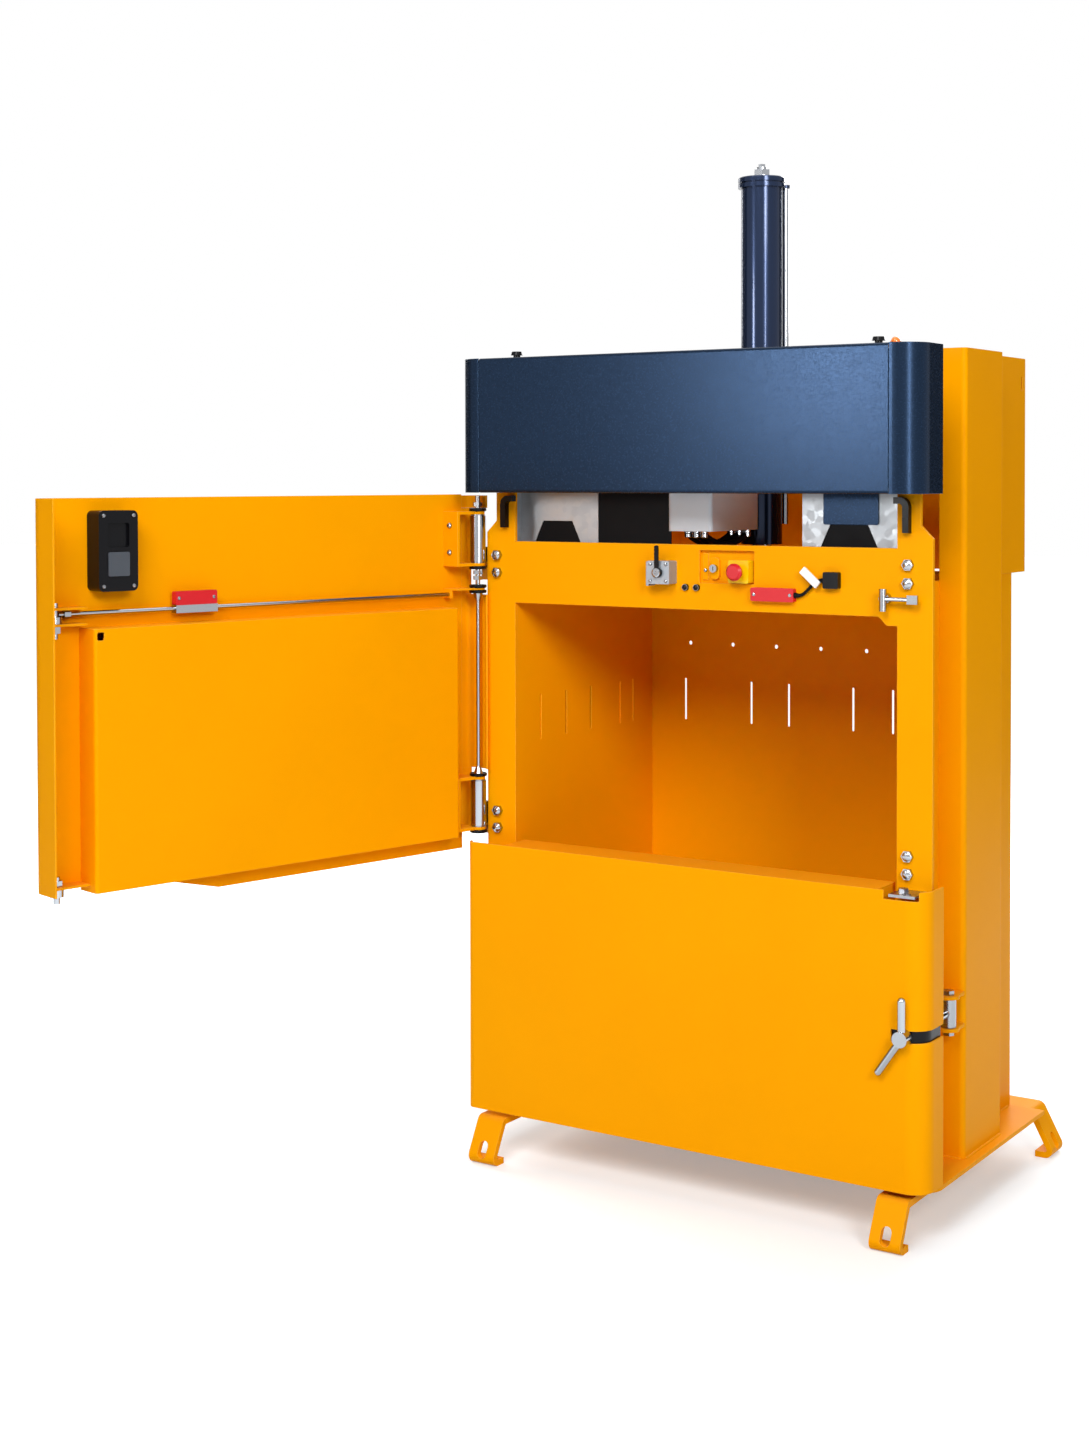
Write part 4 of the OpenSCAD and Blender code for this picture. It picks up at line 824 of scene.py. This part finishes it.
class BALER_OT_slot_shading(bpy.types.Operator):
    """Line the lock's slot in the bale door with a dark strip of painted shade"""

    bl_idname = "baler.slot_lining"
    bl_label = "Slot lining"

    def execute(self, context):
        door_front, door_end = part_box("lower_door_skin")[0][1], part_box("lower_door_skin")[1][0]
        sheet, gap, corner_r, half_h, shading = 0.004, 0.0006, 0.04, 0.0135, 0.0012
        start_x, end_y = 0.4275, 0.079
        y, low, high = door_front + sheet + gap, LOCK_SCREW.z - half_h, LOCK_SCREW.z + half_h
        centre = Vector((door_end - corner_r, door_front + corner_r, 0))
        mesh = bmesh.new()
        foot, head = mesh.verts.new((start_x, y, low)), mesh.verts.new((start_x, y, high))
        flat = self.pull(mesh, [mesh.edges.new((foot, head))], (centre.x - start_x, 0, 0))
        swept = bmesh.ops.spin(
            mesh, geom=flat, cent=centre, axis=(0, 0, 1), angle=math.radians(90), steps=14
        )["geom_last"]
        self.pull(mesh, only(bmesh.types.BMEdge, swept), (0, end_y - centre.y, 0))
        bmesh.ops.remove_doubles(mesh, verts=mesh.verts, dist=MERGE)
        bmesh.ops.recalc_face_normals(mesh, faces=mesh.faces)
        outward = sum(f.normal.dot(f.calc_center_median() - centre) for f in mesh.faces)
        bmesh.ops.solidify(mesh, geom=mesh.faces, thickness=-shading if outward < 0 else shading)
        # A dark sheet of painted shade: the real slot is dark only from the shadow inside it.
        piece("lock_slot_shading", mesh, "lead_socket", "lower_door")
        return {"FINISHED"}

    def pull(self, mesh, edges, way):
        """Draw edges out into faces, and give back the edges at the new end."""
        made = bmesh.ops.extrude_edge_only(mesh, edges=edges)["geom"]
        bmesh.ops.translate(mesh, vec=way, verts=only(bmesh.types.BMVert, made))
        return [e for e in only(bmesh.types.BMEdge, made) if all(v in made for v in e.verts)]


class BALER_OT_studio(bpy.types.Operator):
    """Set up the pale floor, the lights and the camera"""

    bl_idname = "baler.studio"
    bl_label = "Studio"

    def execute(self, context):
        scene, look = context.scene, context.scene.baler_studio
        scene.view_settings.view_transform = "Standard"
        self.floor()
        self.sky(scene, look.sky)
        for name, spot, size, share, fills in (
            ("front_light", (1.0, -4.6, 4.3), (2.6, 2.6), 1.0, True),
            ("glare_light", (-1.5, -4.1, 1.85), (0.7, 0.7), 0.27, False),
            ("right_light", (4.1, -3.2, 3.2), (1.6, 1.6), 0.68, True),
            ("strip_light", (3.3, -2.7, 2.0), (0.3, 2.4), 0.34, False),
            ("top_light", (0.0, 0.4, 4.8), (3.0, 3.0), 0.25, True),
            ("left_light", (-4.6, 1.4, 3.0), (2.2, 2.2), 0.65, True),
            ("back_light", (-0.4, 5.0, 3.2), (2.6, 2.6), 0.75, True),
        ):
            self.light(name, spot, size, look.key * share, fills)
        black = self.matt_black()
        self.dark_card("left_card", (-4.0, 0.2, 1.8), 90, black)
        self.dark_card("right_card", (2.3, 4.6, 1.8), 22, black)
        self.camera(scene, look)
        return {"FINISHED"}

    def light(self, name, spot, size, power, fills):
        """A rectangle of light on the machine. One that doesn't fill shows only as a highlight."""
        aim = Vector((0, 0.2, 0.9))
        lamp = bpy.data.lights.new(name, "AREA")
        lamp.shape, lamp.energy = "RECTANGLE", power
        lamp.size, lamp.size_y = size
        obj = linked(name, lamp)
        obj.location, obj.visible_diffuse = spot, fills
        obj.rotation_euler = (aim - Vector(spot)).to_track_quat("-Z", "Y").to_euler()

    def matt_black(self):
        made = bpy.data.materials.new("dark_card")
        made.use_nodes = True
        shader = made.node_tree.nodes["Principled BSDF"]
        shader.inputs["Base Color"].default_value = (0.02, 0.02, 0.022, 1)
        shader.inputs["Roughness"].default_value = 1.0
        shader.inputs["Specular IOR Level"].default_value = 0.0
        return made

    def dark_card(self, name, spot, turn, material):
        """A dark upright screen that shows only in bright faces, so that they have contrast."""
        mesh = bmesh.new()
        bmesh.ops.create_grid(mesh, x_segments=1, y_segments=1, size=1.8)
        upright = Matrix.Rotation(math.radians(turn), 4, "Z") @ FACE_FRONT
        bmesh.ops.transform(mesh, matrix=Matrix.Translation(spot) @ upright, verts=mesh.verts)
        obj = from_mesh(name, mesh)
        obj.data.materials.append(material)
        obj.visible_camera = obj.visible_diffuse = obj.visible_shadow = obj.visible_transmission = False

    def floor(self):
        """A pale floor that blends into the white background away from the machine, with a painted shadow near the
        machine.
        """
        near, far, dim = 0.7, 2.1, 0.32
        mesh = bmesh.new()
        bmesh.ops.create_grid(mesh, x_segments=4, y_segments=4, size=30.0)
        obj = from_mesh("studio_floor", mesh)
        made = bpy.data.materials.new("pale_floor")
        made.use_nodes = True
        tree = made.node_tree
        tree.nodes.clear()
        matt = node(tree, "ShaderNodeBsdfDiffuse")
        # The floor's blue tint is painted light: it cancels the yellow light that the machine throws on the floor.
        matt.inputs["Color"].default_value = (0.72, 0.78, 0.82, 1)
        away = node(tree, "ShaderNodeVectorMath", [(object_place(tree), 0)], operation="LENGTH")
        # Painted shadow: near the machine the floor's glow drops to the dim share, so the floor there shows darker
        # than its light makes it.
        painted_shade_falloff = remap(tree, away.outputs["Value"], from_min=near, from_max=far, to_min=dim, to_max=1.0)
        share = maths(tree, "MULTIPLY", self.seen(tree), painted_shade_falloff)
        glow = node(tree, "ShaderNodeEmission", [(share, "Strength")])
        both = node(tree, "ShaderNodeAddShader", [(matt.outputs[0], 0), (glow.outputs[0], 1)])
        node(tree, "ShaderNodeOutputMaterial", [(both.outputs[0], "Surface")])
        obj.data.materials.append(made)

    def seen(self, tree):
        """1 for rays that show the background itself or its mirror image."""
        ray = node(tree, "ShaderNodeLightPath")
        direct = maths(tree, "MAXIMUM", ray.outputs["Is Camera Ray"], ray.outputs["Is Glossy Ray"])
        return maths(tree, "MAXIMUM", direct, ray.outputs["Is Transmission Ray"])

    def sky(self, scene, strength):
        """Even light, with a white background for the rays that show it."""
        world = bpy.data.worlds.new("studio_sky")
        world.use_nodes = True
        scene.world = world
        tree = world.node_tree
        tree.nodes.clear()
        level = remap(tree, self.seen(tree), to_min=strength, to_max=1.0)
        glow = node(tree, "ShaderNodeBackground", [(level, "Strength")])
        glow.inputs["Color"].default_value = (1, 1, 1, 1)
        node(tree, "ShaderNodeOutputWorld", [(glow.outputs[0], "Surface")])

    def camera(self, scene, look):
        """The photograph's camera, from its place, its turns and its lens in pixels."""
        lens = bpy.data.cameras.new("studio_camera")
        obj = linked("studio_camera", lens)
        side = max(PHOTO_W, PHOTO_H)
        lens.sensor_width = 36.0
        lens.lens = look.focal_px / side * lens.sensor_width
        lens.shift_x = (PHOTO_W / 2 - look.axis_px[0]) / side
        lens.shift_y = (look.axis_px[1] - PHOTO_H / 2) / side
        lens.clip_end = 200.0
        turn = (
            Matrix.Rotation(look.yaw, 4, "Z")
            @ Matrix.Rotation(math.radians(90) - look.pitch, 4, "X")
            @ Matrix.Rotation(look.roll, 4, "Z")
        )
        obj.matrix_world = Matrix.Translation(Vector(look.eye)) @ turn
        scene.camera = obj


OPERATORS = (
    BALER_OT_studio, BALER_OT_finishes, BALER_OT_lead, BALER_OT_hoses, BALER_OT_door_roll, BALER_OT_domes,
    BALER_OT_rings, BALER_OT_screws, BALER_OT_hub_cap, BALER_OT_welds, BALER_OT_slot_shading,
)


class BALER_PT_sidebar(bpy.types.Panel):
    """Lists the baler's operators and their settings"""

    bl_idname = "BALER_PT_sidebar"
    bl_label = "Baler"
    bl_space_type = "VIEW_3D"
    bl_region_type = "UI"
    bl_category = "Baler"

    def draw(self, context):
        for made in OPERATORS:
            self.layout.operator(made.bl_idname)
        for key in SETTINGS:
            settings, box = getattr(context.scene, key), self.layout.box()
            for name in settings.__annotations__:
                box.prop(settings, name)


SETTINGS = {"baler_finishes": BalerFinishes, "baler_fittings": BalerFittings, "baler_studio": BalerStudio}


def register():
    for made in (*SETTINGS.values(), *OPERATORS, BALER_PT_sidebar):
        bpy.utils.register_class(made)
    for key, made in SETTINGS.items():
        setattr(bpy.types.Scene, key, bpy.props.PointerProperty(type=made))


def unregister():
    for key in SETTINGS:
        delattr(bpy.types.Scene, key)
    for made in reversed((*SETTINGS.values(), *OPERATORS, BALER_PT_sidebar)):
        bpy.utils.unregister_class(made)


def main():
    register()
    bpy.ops.baler.studio()
    bpy.ops.baler.finishes()
    bpy.ops.baler.lead()
    bpy.ops.baler.hoses()
    bpy.ops.baler.door_roll()
    bpy.ops.baler.domes()
    bpy.ops.baler.rings()
    bpy.ops.baler.screws()
    bpy.ops.baler.hub_cap()
    bpy.ops.baler.welds()
    bpy.ops.baler.slot_lining()


if __name__ == "__main__":
    main()
